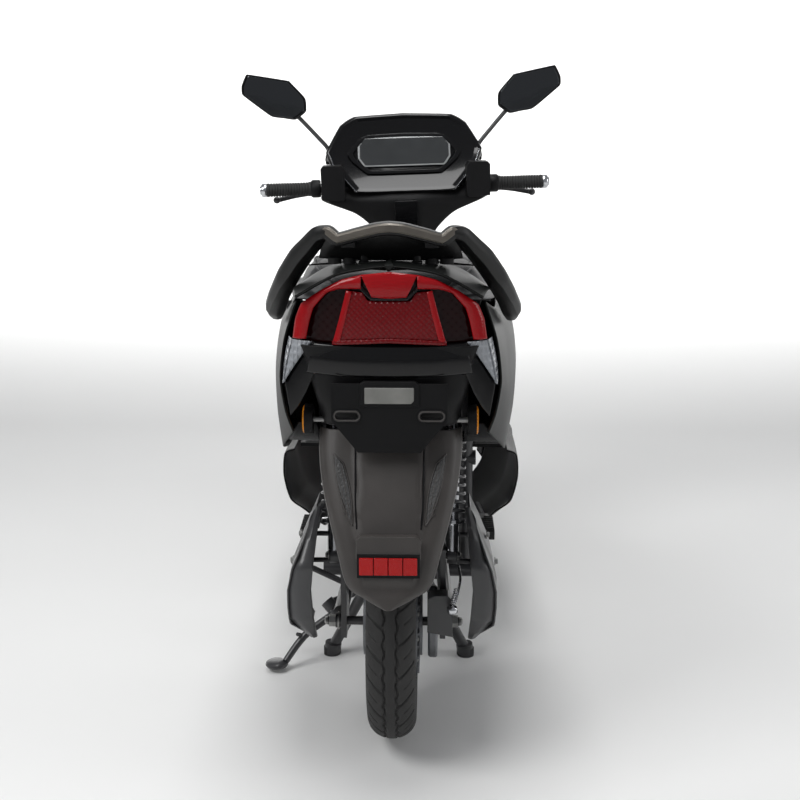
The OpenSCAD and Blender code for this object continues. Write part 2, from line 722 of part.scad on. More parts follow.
module display() color("#5c6166")
  steered()
    translate([bar_x + pod_face(82), 0, bar_z + 82])
      rotate([0, -atan(180 / 64), 0])
        translate([0, 0, 0.3]) linear_extrude(height = 4)
          polygon([
            [-36, -80], [-18, -108], [18, -108], [36, -80],
            [36, 80], [18, 108], [-18, 108], [-36, 80]]);

module headlamp() color("#dfe5ea")
  steered()
    translate([bar_x + 150.4, 0, bar_z + 62])
      loft([
        body_ring(0, [[6, 34], [78, 30], [104, 4], [84, -26], [6, -34]]),
        body_ring(30, [[6, 26], [66, 22], [88, 0], [70, -20], [6, -26]])]);

// Outline of a mirror plate, [y, z], from its inner lower corner
mirror_outline = [
  [224, 182], [251, 160], [306, 169], [370, 219], [373, 242], [361, 266],
  [266, 250], [224, 207]];

module mirrors() color("#101011")
  steered()
    both()
      translate([bar_x, 0, bar_z]) {
        difference() {
          translate([14, 0, 0]) rotate([90, 0, 90]) linear_extrude(height = 20)
            polygon(mirror_outline);
          translate([10, 0, 0]) rotate([90, 0, 90]) linear_extrude(height = 8)
            polygon([for (p = mirror_outline) [298 + (p[0] - 298) * 0.93, 213 + (p[1] - 213) * 0.88]]);
        }
        rod([26, 246, 172], [18, 176, 92], 13);
        rod([18, 176, 92], [18, 176, 55], 14);
      }

module mirror_glasses() color("#3c4347")
  steered()
    both()
      translate([bar_x + 14.5, 0, bar_z]) rotate([90, 0, 90]) linear_extrude(height = 3.3)
        polygon([for (p = mirror_outline) [298 + (p[0] - 298) * 0.92, 213 + (p[1] - 213) * 0.865]]);

module front_tyre() color("#1b1b1b") steered() tyre(front_x, tyre_r);

module front_rim() color("#2e2f31")
  steered() rim(front_x, tyre_r, 62, 92, axle_d + 2 * axle_gap, 5);

module brake_disc() color("#b4b8bc")
  steered()
    difference() {
      union() {
        across(front_x, tyre_r, 56, 60, disc_d);
        across(front_x, tyre_r, 46.2, 60, 54);
      }
      across(front_x, tyre_r, 40, 66, axle_d + 2 * axle_gap);
    }

// ---- stands ----

module centre_stand() color("#1a1a1c") {
  p = stand_pivot;
  difference() {
    union() {
      across(p[0], p[2], -68, 68, 26);
      both() rod([p[0], 48, p[2]], [stand_foot_x, stand_half, 14], stand_d);
    }
    across(p[0], p[2], -70, 70, 12.6);
  }
  both()
    difference() {
      rod([stand_foot_x - 2, stand_half - 2, 26], [stand_foot_x + 1, stand_half + 2, -6], 34);
      block([stand_foot_x, stand_half, -20], [100, 100, 40]);
    }
  // foot lever on the left
  rod([p[0] + 7, 78, p[2] - 42], [p[0] - 22, 204, p[2] + 30], 12);
  translate([p[0] - 22, 204, p[2] + 30]) sphere(d = 24);
}

module side_stand() color("#2a2a2c") {
  difference() {
    union() {
      rod(side_pivot - 7 * side_axis, side_pivot + 7 * side_axis, 28);
      rod(side_pivot + (side_foot - side_pivot) * 0.06, side_foot, side_arm_d);
    }
    rod(side_pivot - 20 * side_axis, side_pivot + 20 * side_axis, 10.2);
  }
  translate(side_foot + [-2, 4, -8]) cylinder(h = 13, d = 46);
}

main_frame();
battery_pack();
footboard();
side_skirts();
leg_shield();
front_apron();
front_indicators();
seat_post_cover();
side_panels();
under_seat_box();
tail_cover();
tail_lamp();
rear_indicators();
tail_underside();
grab_rail();
plate_bracket();
side_reflectors();
rear_mudguard();
rear_reflector();
swingarm();
shock_absorbers();
shock_springs();
side_guards();
rear_brake();
pillion_footrests();
seat_base();
seat_cushion();
rear_tyre();
rear_rim();
hub_motor();
front_fork();
front_mudguard();
front_caliper();
handlebar();
grips();
brake_levers();
switch_housings();
instrument_pod();
handlebar_cover();
display();
headlamp();
mirrors();
mirror_glasses();
front_tyre();
front_rim();
brake_disc();
centre_stand();
side_stand();
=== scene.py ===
# %% [markdown]
# # A moped-style electric scooter, dressed from its CAD frame
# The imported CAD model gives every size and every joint. This lesson adds what
# CAD leaves out: smooth curved panels, a padded seat, tyre tread, springs,
# lenses, fasteners and believable finishes. Forward is +X, left is +Y, up is +Z.

# %% Load the frame
import math
import bmesh
import bpy
import numpy as np
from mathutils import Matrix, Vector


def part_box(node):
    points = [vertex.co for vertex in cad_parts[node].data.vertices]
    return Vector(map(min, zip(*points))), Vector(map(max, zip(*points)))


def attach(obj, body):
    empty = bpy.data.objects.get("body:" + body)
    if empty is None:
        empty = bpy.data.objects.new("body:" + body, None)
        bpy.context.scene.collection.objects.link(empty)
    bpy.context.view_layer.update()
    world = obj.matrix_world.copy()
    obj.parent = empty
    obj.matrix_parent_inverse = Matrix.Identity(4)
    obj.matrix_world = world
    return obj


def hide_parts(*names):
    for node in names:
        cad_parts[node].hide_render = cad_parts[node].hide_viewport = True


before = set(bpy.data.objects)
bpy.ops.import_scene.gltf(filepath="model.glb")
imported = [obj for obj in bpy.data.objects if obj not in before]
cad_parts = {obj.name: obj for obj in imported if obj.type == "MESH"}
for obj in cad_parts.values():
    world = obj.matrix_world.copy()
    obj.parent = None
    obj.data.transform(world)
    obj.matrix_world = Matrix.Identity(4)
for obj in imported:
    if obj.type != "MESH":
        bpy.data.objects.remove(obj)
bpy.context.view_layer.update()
scene = bpy.context.scene

# %% [markdown]
# ## The camera
# A person stands behind the parked scooter and holds the camera at chest
# height, so it looks a little down along +X. A 62 mm lens from about 2.3 m
# keeps the near tail large and the far front wheel small.

# %% Camera
camera = bpy.data.objects.new("camera", bpy.data.cameras.new("camera"))
scene.collection.objects.link(camera)
camera.location = (-2.957, -0.071, 1.159)
camera.rotation_euler = (math.radians(77.17), 0, math.radians(-88.546))
camera.data.lens, camera.data.sensor_width = 62.35, 36
scene.camera = camera
print("camera at", tuple(round(v, 3) for v in camera.location))

# %% [markdown]
# ## Sizes the pieces share
# All shapes below are written in millimetres, as a drawing would be, and
# turned into metres when a mesh is made. R is the rear axle and F the front
# axle. The front end stands a few degrees to the left, so its pieces are
# drawn straight ahead and then turned about the steering axis.

# %% Shared sizes
low, high = (np.array(v) * 1000 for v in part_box("rear_tyre"))
R = (low[0] + high[0]) / 2
REAR_Z = (low[2] + high[2]) / 2
TYRE_R = (high[2] - low[2]) / 2
TYRE_W = high[1] - low[1]
F = R + 1300
RAKE = math.radians(25.5)
STEER_UP = np.array([-math.sin(RAKE), 0, math.cos(RAKE)])
STEER_AT = np.array([F - 18 * math.cos(RAKE), 0, 206 - 18 * math.sin(RAKE)])
BAR_Z = 926
BAR_X = STEER_AT[0] - (BAR_Z - STEER_AT[2]) * math.tan(RAKE) + 18


def steered(points, angle=4):
    """Points turned about the steering axis: each offset v becomes
    v cos a + (axis x v) sin a + axis (axis . v)(1 - cos a)."""
    a = math.radians(angle)
    v = np.asarray(points, float) - STEER_AT
    along = (v @ STEER_UP)[..., None] * STEER_UP
    return STEER_AT + v * math.cos(a) + np.cross(STEER_UP, v) * math.sin(a) + along * (1 - math.cos(a))


print("axles", round(R), round(F), "tyre radius", round(TYRE_R), "bar", round(BAR_X), BAR_Z)

# %% [markdown]
# ## Curved sheets from a few points
# A moulded panel is a smooth sheet through a handful of measured points. A
# spline can be written as a matrix: it holds how much of each control point
# a sample gets. One matrix along the panel and one across it, multiplied on
# both sides of the control points, give the whole surface in one step.

# %% Spline and patch
def spline(points, samples, soft=1.0, closed=False):
    """Matrix of samples x points. Between two points, at fraction f, the four
    nearest points mix by the Catmull-Rom cubics; soft=0 gives straight lines."""
    last = points if closed else points - 1
    t = np.linspace(0, last, samples, endpoint=not closed)
    k = np.minimum(np.floor(t).astype(int), last - 1)
    f = t - k
    cubic = 0.5 * np.stack([-f**3 + 2 * f**2 - f, 3 * f**3 - 5 * f**2 + 2, -3 * f**3 + 4 * f**2 + f, f**3 - f**2])
    mix = soft * cubic + (1 - soft) * np.stack([0 * f, 1 - f, f, 0 * f])
    out = np.zeros((samples, points))
    for j in range(4):
        index = (k + j - 1) % points if closed else np.clip(k + j - 1, 0, points - 1)
        np.add.at(out, (np.arange(samples), index), mix[j])
    return out


def patch(rings, along, across, soft=(1.0, 1.0), closed=False):
    """Grid of points: spline weights along x control points x weights across."""
    p = np.asarray(rings, float)
    return np.einsum("ai,ijk,bj->abk", spline(p.shape[0], along, soft[0]), p, spline(p.shape[1], across, soft[1],
        closed))


def curve(points, samples, soft=1.0, closed=False):
    """One smooth line through the points."""
    return spline(len(points), samples, soft, closed) @ np.asarray(points, float)


print("a 3-point line, sampled 5 times:", curve([[0.0], [1.0], [4.0]], 5).ravel().round(2))

# %% Grids to shapes
def grid(points, closed=(False, False), caps=False):
    """(points, faces) of a grid: each face joins a sample with its neighbours
    along and across; a closed direction also joins the last with the first."""
    n, m = points.shape[:2]
    i = np.arange(n * m).reshape(n, m)
    i = np.vstack([i, i[:1]]) if closed[0] else i
    i = np.hstack([i, i[:, :1]]) if closed[1] else i
    faces = np.stack([i[:-1, :-1], i[1:, :-1], i[1:, 1:], i[:-1, 1:]], -1).reshape(-1, 4).tolist()
    if caps:
        faces += [list(range(m))[::-1], list(range((n - 1) * m, n * m))]
    return points.reshape(-1, 3), faces


def join(*shapes):
    """Several shapes as one: the faces of each are counted on from the last."""
    starts = np.cumsum([0] + [len(p) for p, _ in shapes])
    return np.vstack([p for p, _ in shapes]), [[v + int(s) for v in f] for s, (_, fs) in zip(starts,
        shapes) for f in fs]


def both(shape):
    """A shape and its mirror image in the middle plane, faces turned round."""
    p, f = shape
    return join(shape, (p * [1, -1, 1], [g[::-1] for g in f]))


def facing(shape, direction):
    """A sheet with its faces turned so that their summed area vectors, the
    cross products of the faces' diagonals, point towards direction."""
    p, f = shape
    q = np.array([g[:4] for g in f])
    area = np.cross(p[q[:, 2]] - p[q[:, 0]], p[q[:, 3]] - p[q[:, 1]]).sum(0)
    return shape if area @ np.asarray(direction, float) > 0 else (p, [g[::-1] for g in f])


def turned(shape):
    """A shape turned with the front end."""
    return steered(shape[0]), shape[1]


print("helpers ready")

# %% Sweeps, lathes and plates
def unit(v):
    """Vectors scaled to length 1."""
    v = np.asarray(v, float)
    return v / np.linalg.norm(v, axis=-1, keepdims=True)


def sweep(path, section, samples=24, up=(0, 0, 1), soft=1.0, scale=None, caps=True):
    """A closed section [side, up] carried along a smooth path. At a sample the
    side vector is tangent x up, and a point is path + side a + normal b."""
    line = curve(path, samples, soft)
    t = unit(np.gradient(line, axis=0))
    side = unit(np.cross(t, np.asarray(up, float)))
    normal = np.cross(side, t)
    size = np.ones((samples, 2)) if scale is None else curve(np.asarray(scale, float).reshape(len(path), -1) * [1,
        1], samples, soft)
    s = np.asarray(section, float)
    return grid(line[:, None] + side[:, None] * (s[:, 0] * size[:, :1])[..., None] + normal[:, None] * (s[:,
        1] * size[:, 1:])[..., None], (False, True), caps)


def round_section(radius, sides=16, flat=1.0):
    """Points of a circle: radius times (cos a, sin a), the second times flat."""
    a = np.linspace(0, 2 * np.pi, sides, endpoint=False)
    return radius * np.stack([np.cos(a), flat * np.sin(a)], 1)


def tube(path, radius, samples=24, sides=16, up=(0, 0, 1), soft=1.0, scale=None):
    """A round tube along a smooth path."""
    return sweep(path, round_section(radius, sides), samples, up, soft, scale)


def lathe(profile, start, direction, sides=40, caps=True):
    """A profile [along, radius] turned about a line: start + d along + radius
    (e cos a + f sin a), where e and f are square to d."""
    d = unit(direction)
    e = unit(np.cross(d, [0.0, 0, 1] if abs(d[2]) < 0.9 else [1.0, 0, 0]))
    f = np.cross(d, e)
    a = np.linspace(0, 2 * np.pi, sides, endpoint=False)[None, :, None]
    p = np.asarray(profile, float)
    return grid(np.asarray(start, float) + p[:, None, :1] * d + p[:, None, 1:] * (e * np.cos(a) + f * np.sin(a)),
        (False, True), caps)


def plate(outline, at, right, up, thick):
    """An outline [a, b] on the plane through at, thickened along right x up."""
    o, r, u = np.asarray(outline, float), unit(right), unit(up)
    face = np.asarray(at, float) + o[:, :1] * r + o[:, 1:] * u
    return grid(np.stack([face, face + thick * np.cross(r, u)]), (False, True), True)


def block(at, size, up=(0, 0, 1), right=(0, 1, 0)):
    """A box round a point, as a plate with a square outline."""
    r, u = unit(right), unit(up)
    a, b = size[1] / 2, size[2] / 2
    return plate([[-a, -b], [a, -b], [a, b], [-a, b]], np.asarray(at, float) - np.cross(r, u) * size[0] / 2, r, u,
        size[0])


def bolt(at, direction, size=8.0, tall=5.0):
    """A hexagon head with a washer: a lathe with six sides on one with 24."""
    return join(lathe([[0, size * 0.95], [1.4, size * 0.95]], at, direction, 24),
                lathe([[1.4, size * 0.62], [tall * 0.85, size * 0.62], [tall, size * 0.5]], at, direction, 6))


print("a bolt has", len(bolt([0, 0, 0], [1, 0, 0])[1]), "faces")

# %% Making a piece
def piece(name, parts, body, replaces=(), wall=0.0, bevel=0.0, levels=0, sharp=38, solid=True):
    """One object from (shape, finish) pairs. Millimetres become metres, closed
    shapes get outward normals, and edges sharper than `sharp` stay crisp."""
    points, faces = join(*[s for s, _ in parts])
    mesh = bpy.data.meshes.new(name)
    mesh.from_pydata((np.asarray(points) * 0.001).tolist(), [], faces)
    finishes = list(dict.fromkeys(f for _, f in parts))
    for f in finishes:
        mesh.materials.append(f)
    mesh.polygons.foreach_set("material_index", np.repeat([finishes.index(f) for _, f in parts], [len(s[1]) for s,
        _ in parts]).astype(np.int32))
    bm = bmesh.new()
    bm.from_mesh(mesh)
    bmesh.ops.remove_doubles(bm, verts=bm.verts, dist=1e-6)
    if solid:
        bmesh.ops.recalc_face_normals(bm, faces=bm.faces)
    bm.to_mesh(mesh)
    bm.free()
    mesh.shade_smooth()
    mesh.set_sharp_from_angle(angle=math.radians(sharp))
    obj = bpy.data.objects.new(name, mesh)
    scene.collection.objects.link(obj)
    if wall:
        m = obj.modifiers.new("wall", "SOLIDIFY")
        m.thickness, m.offset = wall * 0.001, -1
        m.use_even_offset = True
    if bevel:
        m = obj.modifiers.new("edges", "BEVEL")
        m.width, m.segments, m.limit_method, m.angle_limit = bevel * 0.001, 2, "ANGLE", math.radians(35)
        m.harden_normals = True
    if levels:
        m = obj.modifiers.new("smooth", "SUBSURF")
        m.levels = m.render_levels = levels
    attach(obj, body)
    if replaces:
        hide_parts(*replaces)
    print(f"{name}: {len(mesh.polygons)} faces on {body}")
    return obj


# %% [markdown]
# ## Finishes
# Nearly every surface here is dark, so what tells them apart is how they
# reflect: lacquer is a mirror under a clear coat, moulded plastic has a fine
# grain, rubber is dull and dusty. One recipe makes them all: a slow noise
# shifts colour and gloss a little, a fine noise gives the grain, and a bevel
# node rounds the edges and finds them, so that they can be worn a bit paler.

# %% The finish recipe
def finish(name, colour, rough=0.4, metal=0.0, coat=0.0, vary=0.25, patches=7.0, gloss_vary=0.08, grain=0.0,
    grain_size=700.0, worn=0.0, edge=0.0012, pattern="noise", **sockets):
    """A principled material. Colour = colour x (1 +- vary by noise), plus a
    paler tone where the bevelled normal leaves the face's own normal."""
    mat = bpy.data.materials.new(name)
    mat.use_nodes = True
    tree = mat.node_tree
    add, link = tree.nodes.new, tree.links.new
    shader = tree.nodes["Principled BSDF"]
    shader.inputs["Metallic"].default_value = metal
    shader.inputs["Coat Weight"].default_value = coat
    shader.inputs["Coat Roughness"].default_value = 0.04
    for key, value in sockets.items():
        shader.inputs[key.replace("_", " ")].default_value = value
    place = add("ShaderNodeTexCoord")
    slow = add("ShaderNodeTexNoise")
    slow.inputs["Scale"].default_value, slow.inputs["Detail"].default_value = patches, 6
    link(place.outputs["Object"], slow.inputs["Vector"])
    tone = add("ShaderNodeMix")
    tone.data_type = "RGBA"
    tone.inputs[6].default_value = (*[c * (1 - vary) for c in colour], 1)
    tone.inputs[7].default_value = (*[min(1, c * (1 + vary)) for c in colour], 1)
    link(slow.outputs["Fac"], tone.inputs[0])
    out = tone.outputs[2]
    bevel = add("ShaderNodeBevel")
    bevel.samples = 3
    bevel.inputs["Radius"].default_value = edge
    if worn:
        own = add("ShaderNodeNewGeometry")
        dot = add("ShaderNodeVectorMath")
        dot.operation = "DOT_PRODUCT"
        link(bevel.outputs[0], dot.inputs[0])
        link(own.outputs["Normal"], dot.inputs[1])
        mask = add("ShaderNodeMapRange")
        for i, v in enumerate((0.995, 0.8, 0.0, worn)):
            mask.inputs[i + 1].default_value = v
        link(dot.outputs["Value"], mask.inputs[0])
        rub = add("ShaderNodeMix")
        rub.data_type = "RGBA"
        rub.inputs[7].default_value = (*[min(1, c * 2.2 + 0.05) for c in colour], 1)
        link(mask.outputs[0], rub.inputs[0])
        link(out, rub.inputs[6])
        out = rub.outputs[2]
    link(out, shader.inputs["Base Color"])
    gloss = add("ShaderNodeMapRange")
    gloss.inputs[3].default_value, gloss.inputs[4].default_value = max(0.02, rough - gloss_vary), rough + gloss_vary
    link(slow.outputs["Fac"], gloss.inputs[0])
    link(gloss.outputs[0], shader.inputs["Roughness"])
    bump = add("ShaderNodeBump")
    link(bevel.outputs[0], bump.inputs["Normal"])
    bump.inputs["Strength"].default_value, bump.inputs["Distance"].default_value = (grain or 0.02), 0.001
    fine = add("ShaderNodeTexVoronoi" if pattern == "cells" else "ShaderNodeTexNoise")
    fine.inputs["Scale"].default_value = grain_size
    link(place.outputs["Object"], fine.inputs["Vector"])
    link(fine.outputs["Distance" if pattern == "cells" else "Fac"], bump.inputs["Height"])
    link(bump.outputs[0], shader.inputs["Normal"])
    return mat


def nodes_of(mat):
    """A material's adder, linker, shader and its Object coordinates."""
    tree = mat.node_tree
    return tree.nodes.new, tree.links.new, tree.nodes["Principled BSDF"], next(n for n in tree.nodes if n.type == "TEX_COORD").outputs["Object"]


# %% Paints, plastics and metals
frame_paint = finish("frame_paint", (0.022, 0.022, 0.024), 0.38, coat=0.3, grain=0.05, worn=0.35)
black_gloss = finish("black_gloss", (0.004, 0.004, 0.0045), 0.14, coat=0.28, vary=0.15, gloss_vary=0.04, grain=0.012,
    grain_size=260, worn=0.05, **{"Specular IOR Level": 0.2})
black_plastic = finish("black_plastic", (0.008, 0.008, 0.0085), 0.44, grain=0.16, grain_size=1500, worn=0.12,
    **{"Specular IOR Level": 0.16})
panel_grey = finish("panel_grey", (0.009, 0.0098, 0.0094), 0.42, coat=0.04, vary=0.2, grain=0.02, grain_size=400,
    worn=0.06, **{"Specular IOR Level": 0.14})
mudguard_plastic = finish("mudguard_plastic", (0.045, 0.04, 0.037), 0.42, vary=0.3, patches=16, grain=0.3,
    grain_size=1300, worn=0.3)
guard_metal = finish("guard_metal", (0.05, 0.05, 0.052), 0.4, vary=0.3, coat=0.2, grain=0.1, worn=0.3)
rail_black = finish("rail_black", (0.008, 0.008, 0.008), 0.4, grain=0.12, grain_size=1200, worn=0.2,
    **{"Specular IOR Level": 0.35})
rail_bronze = finish("rail_bronze", (0.16, 0.145, 0.125), 0.34, metal=0.6, vary=0.3, patches=30, grain=0.12,
    grain_size=900, worn=0.4)
battery_case = finish("battery_case", (0.04, 0.042, 0.046), 0.55, grain=0.3, worn=0.2)
steel = finish("polished_steel", (0.62, 0.63, 0.65), 0.16, metal=1.0, vary=0.12, patches=60, gloss_vary=0.07,
    worn=0.0)
zinc = finish("zinc_steel", (0.34, 0.34, 0.33), 0.38, metal=0.9, vary=0.4, patches=90, grain=0.1, worn=0.1)
spring_black = finish("spring_black", (0.02, 0.02, 0.022), 0.3, coat=0.6, vary=0.3, worn=0.1)
rim_paint = finish("rim_paint", (0.03, 0.03, 0.033), 0.35, coat=0.4, vary=0.3, worn=0.3)
motor_alloy = finish("motor_alloy", (0.2, 0.205, 0.215), 0.48, metal=0.8, vary=0.3, patches=40, grain=0.25,
    grain_size=1100, worn=0.2)
fork_alloy = finish("fork_alloy", (0.36, 0.37, 0.39), 0.34, metal=0.9, vary=0.2, grain=0.06, worn=0.1)
caliper_paint = finish("caliper_paint", (0.22, 0.012, 0.012), 0.35, coat=0.5, grain=0.1, worn=0.3)
bar_steel = finish("bar_steel", (0.035, 0.035, 0.037), 0.35, coat=0.3, grain=0.05, worn=0.2)
rubber = finish("grip_rubber", (0.013, 0.013, 0.013), 0.66, vary=0.35, grain=0.3, grain_size=1700, worn=0.15)
tyre_rubber = finish("tyre_rubber", (0.02, 0.0195, 0.019), 0.72, vary=0.5, patches=22, grain=0.5, grain_size=1000,
    worn=0.3, edge=0.002)
disc_steel = finish("disc_steel", (0.46, 0.46, 0.47), 0.28, metal=1.0, vary=0.15, patches=80, grain=0.08)
display_glass = finish("display_glass", (0.022, 0.024, 0.025), 0.12, coat=1.0, vary=0.3, patches=26, grain=0.012,
    grain_size=200)
mirror_glass = finish("mirror_glass", (0.09, 0.095, 0.1), 0.06, metal=1.0, vary=0.08, gloss_vary=0.02)
print(len(bpy.data.materials), "finishes so far")

# %% [markdown]
# ### Lenses
# A lamp lens is coloured plastic with a pattern of small pillows behind a
# smooth face. The face is a clear coat, and the pillows are a bump under it:
# rows of cosine domes, one every few millimetres across and up.

# %% Lens finishes
def lens(name, colour, pitch=(9.0, 9.0), depth=0.6, rough=0.12, glow=0.0, clear=0.0, dots=True):
    """A glossy lens. Its bump is cos(y / pitch) x cos(z / pitch), made with
    sines of the scaled Object coordinates."""
    mat = finish(name, colour, rough, coat=0.25, vary=0.2, patches=14, gloss_vary=0.03,
        **{"Specular IOR Level": 0.18})
    add, link, shader, place = nodes_of(mat)
    if clear:
        shader.inputs["Transmission Weight"].default_value = clear
    if glow:
        shader.inputs["Emission Color"].default_value = (*colour, 1)
        shader.inputs["Emission Strength"].default_value = glow
    split = add("ShaderNodeSeparateXYZ")
    link(place, split.inputs[0])
    waves = []
    for axis, step in zip((1, 2), pitch):
        scale = add("ShaderNodeMath")
        scale.operation, scale.inputs[1].default_value = "MULTIPLY", 2 * math.pi * 1000 / step
        link(split.outputs[axis], scale.inputs[0])
        wave = add("ShaderNodeMath")
        wave.operation = "COSINE"
        link(scale.outputs[0], wave.inputs[0])
        waves.append(wave.outputs[0])
    height = add("ShaderNodeMath")
    height.operation = "MULTIPLY" if dots else "MAXIMUM"
    link(waves[0], height.inputs[0])
    link(waves[1], height.inputs[1])
    bump = add("ShaderNodeBump")
    bump.inputs["Strength"].default_value, bump.inputs["Distance"].default_value = depth, 0.001
    link(height.outputs[0], bump.inputs["Height"])
    link(bump.outputs[0], shader.inputs["Normal"])
    return mat


red_band = lens("red_band", (0.3, 0.004, 0.007), (40.0, 5.0), 0.12, glow=0.05)
red_lens = lens("red_lens", (0.14, 0.003, 0.005), (9.0, 9.0), 0.55, glow=0.03)
red_dark = lens("red_dark", (0.012, 0.0006, 0.0008), (14.0, 14.0), 0.2)
# The reflector's prisms glow faintly though no lamp lights them: this glow is painted light standing in for reflected
# light.
red_prism_painted_glow = lens("red_prism_painted_glow", (0.4, 0.006, 0.006), (3.0, 3.0), 0.45, rough=0.25, glow=0.06)
clear_lens = lens("clear_lens", (0.42, 0.44, 0.47), (7.0, 12.0), 1.0, rough=0.1, clear=0.25, dots=False)
# This lens also covers the side reflectors, which are no lamps; on them the glow is a painted glow.
amber_lens = lens("amber_lens", (0.75, 0.26, 0.02), (5.0, 5.0), 0.8, glow=0.05)
lamp_glass = lens("lamp_glass", (0.6, 0.63, 0.66), (12.0, 30.0), 0.5, clear=0.3, dots=False)
print("lenses:", [m.name for m in (red_band, red_lens, red_dark, red_prism_painted_glow, clear_lens, amber_lens, lamp_glass)])

# %% [markdown]
# ### The CAD parts that stay
# Frame tubes, axles, motor and brackets already have the right shape. They
# keep their CAD mesh and only get a finish.

# %% Dress the CAD nodes
DRESS = {
    frame_paint: "main_frame swingarm centre_stand",
    battery_case: "battery_pack", black_gloss: "tail_cover front_apron front_mudguard instrument_pod",
    black_plastic: "footboard side_skirts leg_shield seat_post_cover under_seat_box tail_underside plate_bracket pillion_footrests handlebar_cover switch_housings mirrors seat_base side_stand brake_levers seat_cushion",
    panel_grey: "side_panels", mudguard_plastic: "rear_mudguard", guard_metal: "side_guards",
    motor_alloy: "hub_motor rear_brake", rail_bronze: "grab_rail", red_lens: "tail_lamp", red_prism_painted_glow: "rear_reflector",
    clear_lens: "rear_indicators", lamp_glass: "headlamp", amber_lens: "side_reflectors front_indicators",
    steel: "shock_absorbers", spring_black: "shock_springs", tyre_rubber: "rear_tyre front_tyre", rim_paint: "rear_rim front_rim",
    fork_alloy: "front_fork", caliper_paint: "front_caliper", bar_steel: "handlebar", rubber: "grips",
    display_glass: "display", mirror_glass: "mirror_glasses", disc_steel: "brake_disc",
}
for mat, names in DRESS.items():
    for name in names.split():
        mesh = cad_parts[name].data
        mesh.materials.clear()
        mesh.materials.append(mat)
        mesh.shade_smooth()
        mesh.set_sharp_from_angle(angle=math.radians(30))
print("dressed", sum(len(n.split()) for n in DRESS.values()), "nodes")

# %% [markdown]
# ## Tyres
# A scooter tyre is a rounded band with a moulded tread: a rib in the middle,
# two long zigzag grooves beside it and curved side grooves that carry water
# away. The tyre is one grid, round the wheel and across the band. Where the
# pattern says "groove", the radius is a few millimetres less.

# %% Tyre surface
def groove(distance, width, depth):
    """Depth x a smooth step: 1 inside the groove, 0 more than width away."""
    return depth * np.clip(1.5 - distance / width, 0, 1)


def tyre_shape(radius, width, rim, around=792, blocks=22):
    """Radius = crown arc - grooves. The crown is the arc r - 0.42 w (1 - cos b)
    at y = w/2 sin b; below the shoulder the wall goes straight to the bead."""
    b = np.linspace(-np.pi / 2, np.pi / 2, 61)
    arc = np.stack([radius - width * 0.42 * (1 - np.cos(b)), width / 2 * np.sin(b)], 1)
    wall = np.array([[radius - width * 0.6, width * 0.497], [radius - width * 0.75, width * 0.475], [rim + 9,
        width * 0.445], [rim + 3, width * 0.44], [rim + 1.5, width * 0.4]])
    line = np.vstack([wall[::-1] * [1, -1], arc, wall])
    a = np.linspace(0, 2 * np.pi, around, endpoint=False)[:, None]
    y = line[None, :, 1]
    phase = a * blocks / (2 * np.pi)
    zigzag = 10.5 + 1.6 * np.sin(2 * np.pi * phase * 2)
    cut = groove(np.abs(np.abs(y) - zigzag), 1.5, 4.0)
    sweep_back = 0.55 * (np.abs(y) / 40) ** 1.6 + np.where(y > 0, 0.5, 0)
    side = np.abs((phase - sweep_back + 0.5) % 1 - 0.5) * 2 * np.pi * radius / blocks
    cut = np.maximum(cut, np.where((np.abs(y) > 14) & (np.abs(y) < 39), groove(side, 2.2, 3.6), 0))
    small = np.abs((phase - sweep_back) % 1 - 0.5) * 2 * np.pi * radius / blocks
    cut = np.maximum(cut, np.where((np.abs(y) > 22) & (np.abs(y) < 36), groove(small, 1.1, 2.2), 0))
    r = line[None, :, 0] - cut * (line[None, :, 0] > radius - width * 0.5)
    return grid(np.stack([r * np.sin(a), np.broadcast_to(y, r.shape), r * np.cos(a)], -1), (True, False))


print("tread: 22 blocks of", round(2 * math.pi * TYRE_R / 22), "mm")

# %% Both tyres
RIM_R = 129
points, faces = tyre_shape(TYRE_R, TYRE_W, RIM_R)
piece("rear_tyre_tread", [((points + [R, 0, REAR_Z], faces), tyre_rubber)], "rear_wheel", ["rear_tyre"])
piece("front_tyre_tread", [((steered(points * [-1, 1, 1] + [F, 0, TYRE_R]), faces), tyre_rubber)], "front_wheel",
    ["front_tyre"])

# %% [markdown]
# ## Tail body
# The panels round the tail are glossy mouldings with walls of 3.5 mm. Each is
# drawn from cross-lines, stations along the body, and a spline patch joins
# them. A Solidify modifier then gives the wall, inwards.

# %% Side panels and tail cover
def panel(stations, along=80, across=30, soft=(1.0, 0.75)):
    """A sheet through lines [y, z], one for each station x."""
    return patch([[[R + x, y, z] for y, z in line] for x, line in stations], along, across, soft)


sides = facing(grid(panel([
    (-150, [(152, 822), (172, 760), (180, 694), (172, 640), (160, 606)]),
    (-30, [(172, 794), (190, 740), (198, 672), (197, 610), (190, 552)]),
    (120, [(180, 788), (207, 736), (217, 664), (214, 590), (200, 510)]),
    (260, [(185, 783), (215, 732), (225, 660), (220, 580), (204, 490)]),
    (340, [(180, 706), (209, 680), (221, 620), (216, 560), (202, 480)]),
    (480, [(158, 700), (188, 668), (198, 590), (192, 530), (180, 460)]),
    (565, [(119, 693), (150, 650), (170, 560), (170, 480), (166, 413)])])), (0, 1, 0))
liner = grid(np.array([[[R + x, y, z + 6 - 0.0009 * (200 - y) ** 2 * 0.2] for y in np.linspace(edge - 5, 122, 9)]
                       for x, edge, z in [(-140, 158, 612), (-30, 186, 556), (120, 196, 516), (260, 200, 496), (340,
                           198, 486), (430, 180, 470)]]))
wall_in = grid(np.array([[[R + 150, y, z] for y in np.linspace(96, 205 - 0.1 * abs(z - 660) ** 0.9,
    7)] for z in np.linspace(516, 776, 9)]))
piece("side_panel_pair", [(both(sides), panel_grey)], "chassis", ["side_panels"], wall=3.4, solid=False)
piece("wheel_house_liners", [(both(facing(liner, (0, 0, -1))), black_plastic), (both(facing(wall_in, (-1, 0, 0))),
    black_plastic)], "chassis", wall=2.0, solid=False)


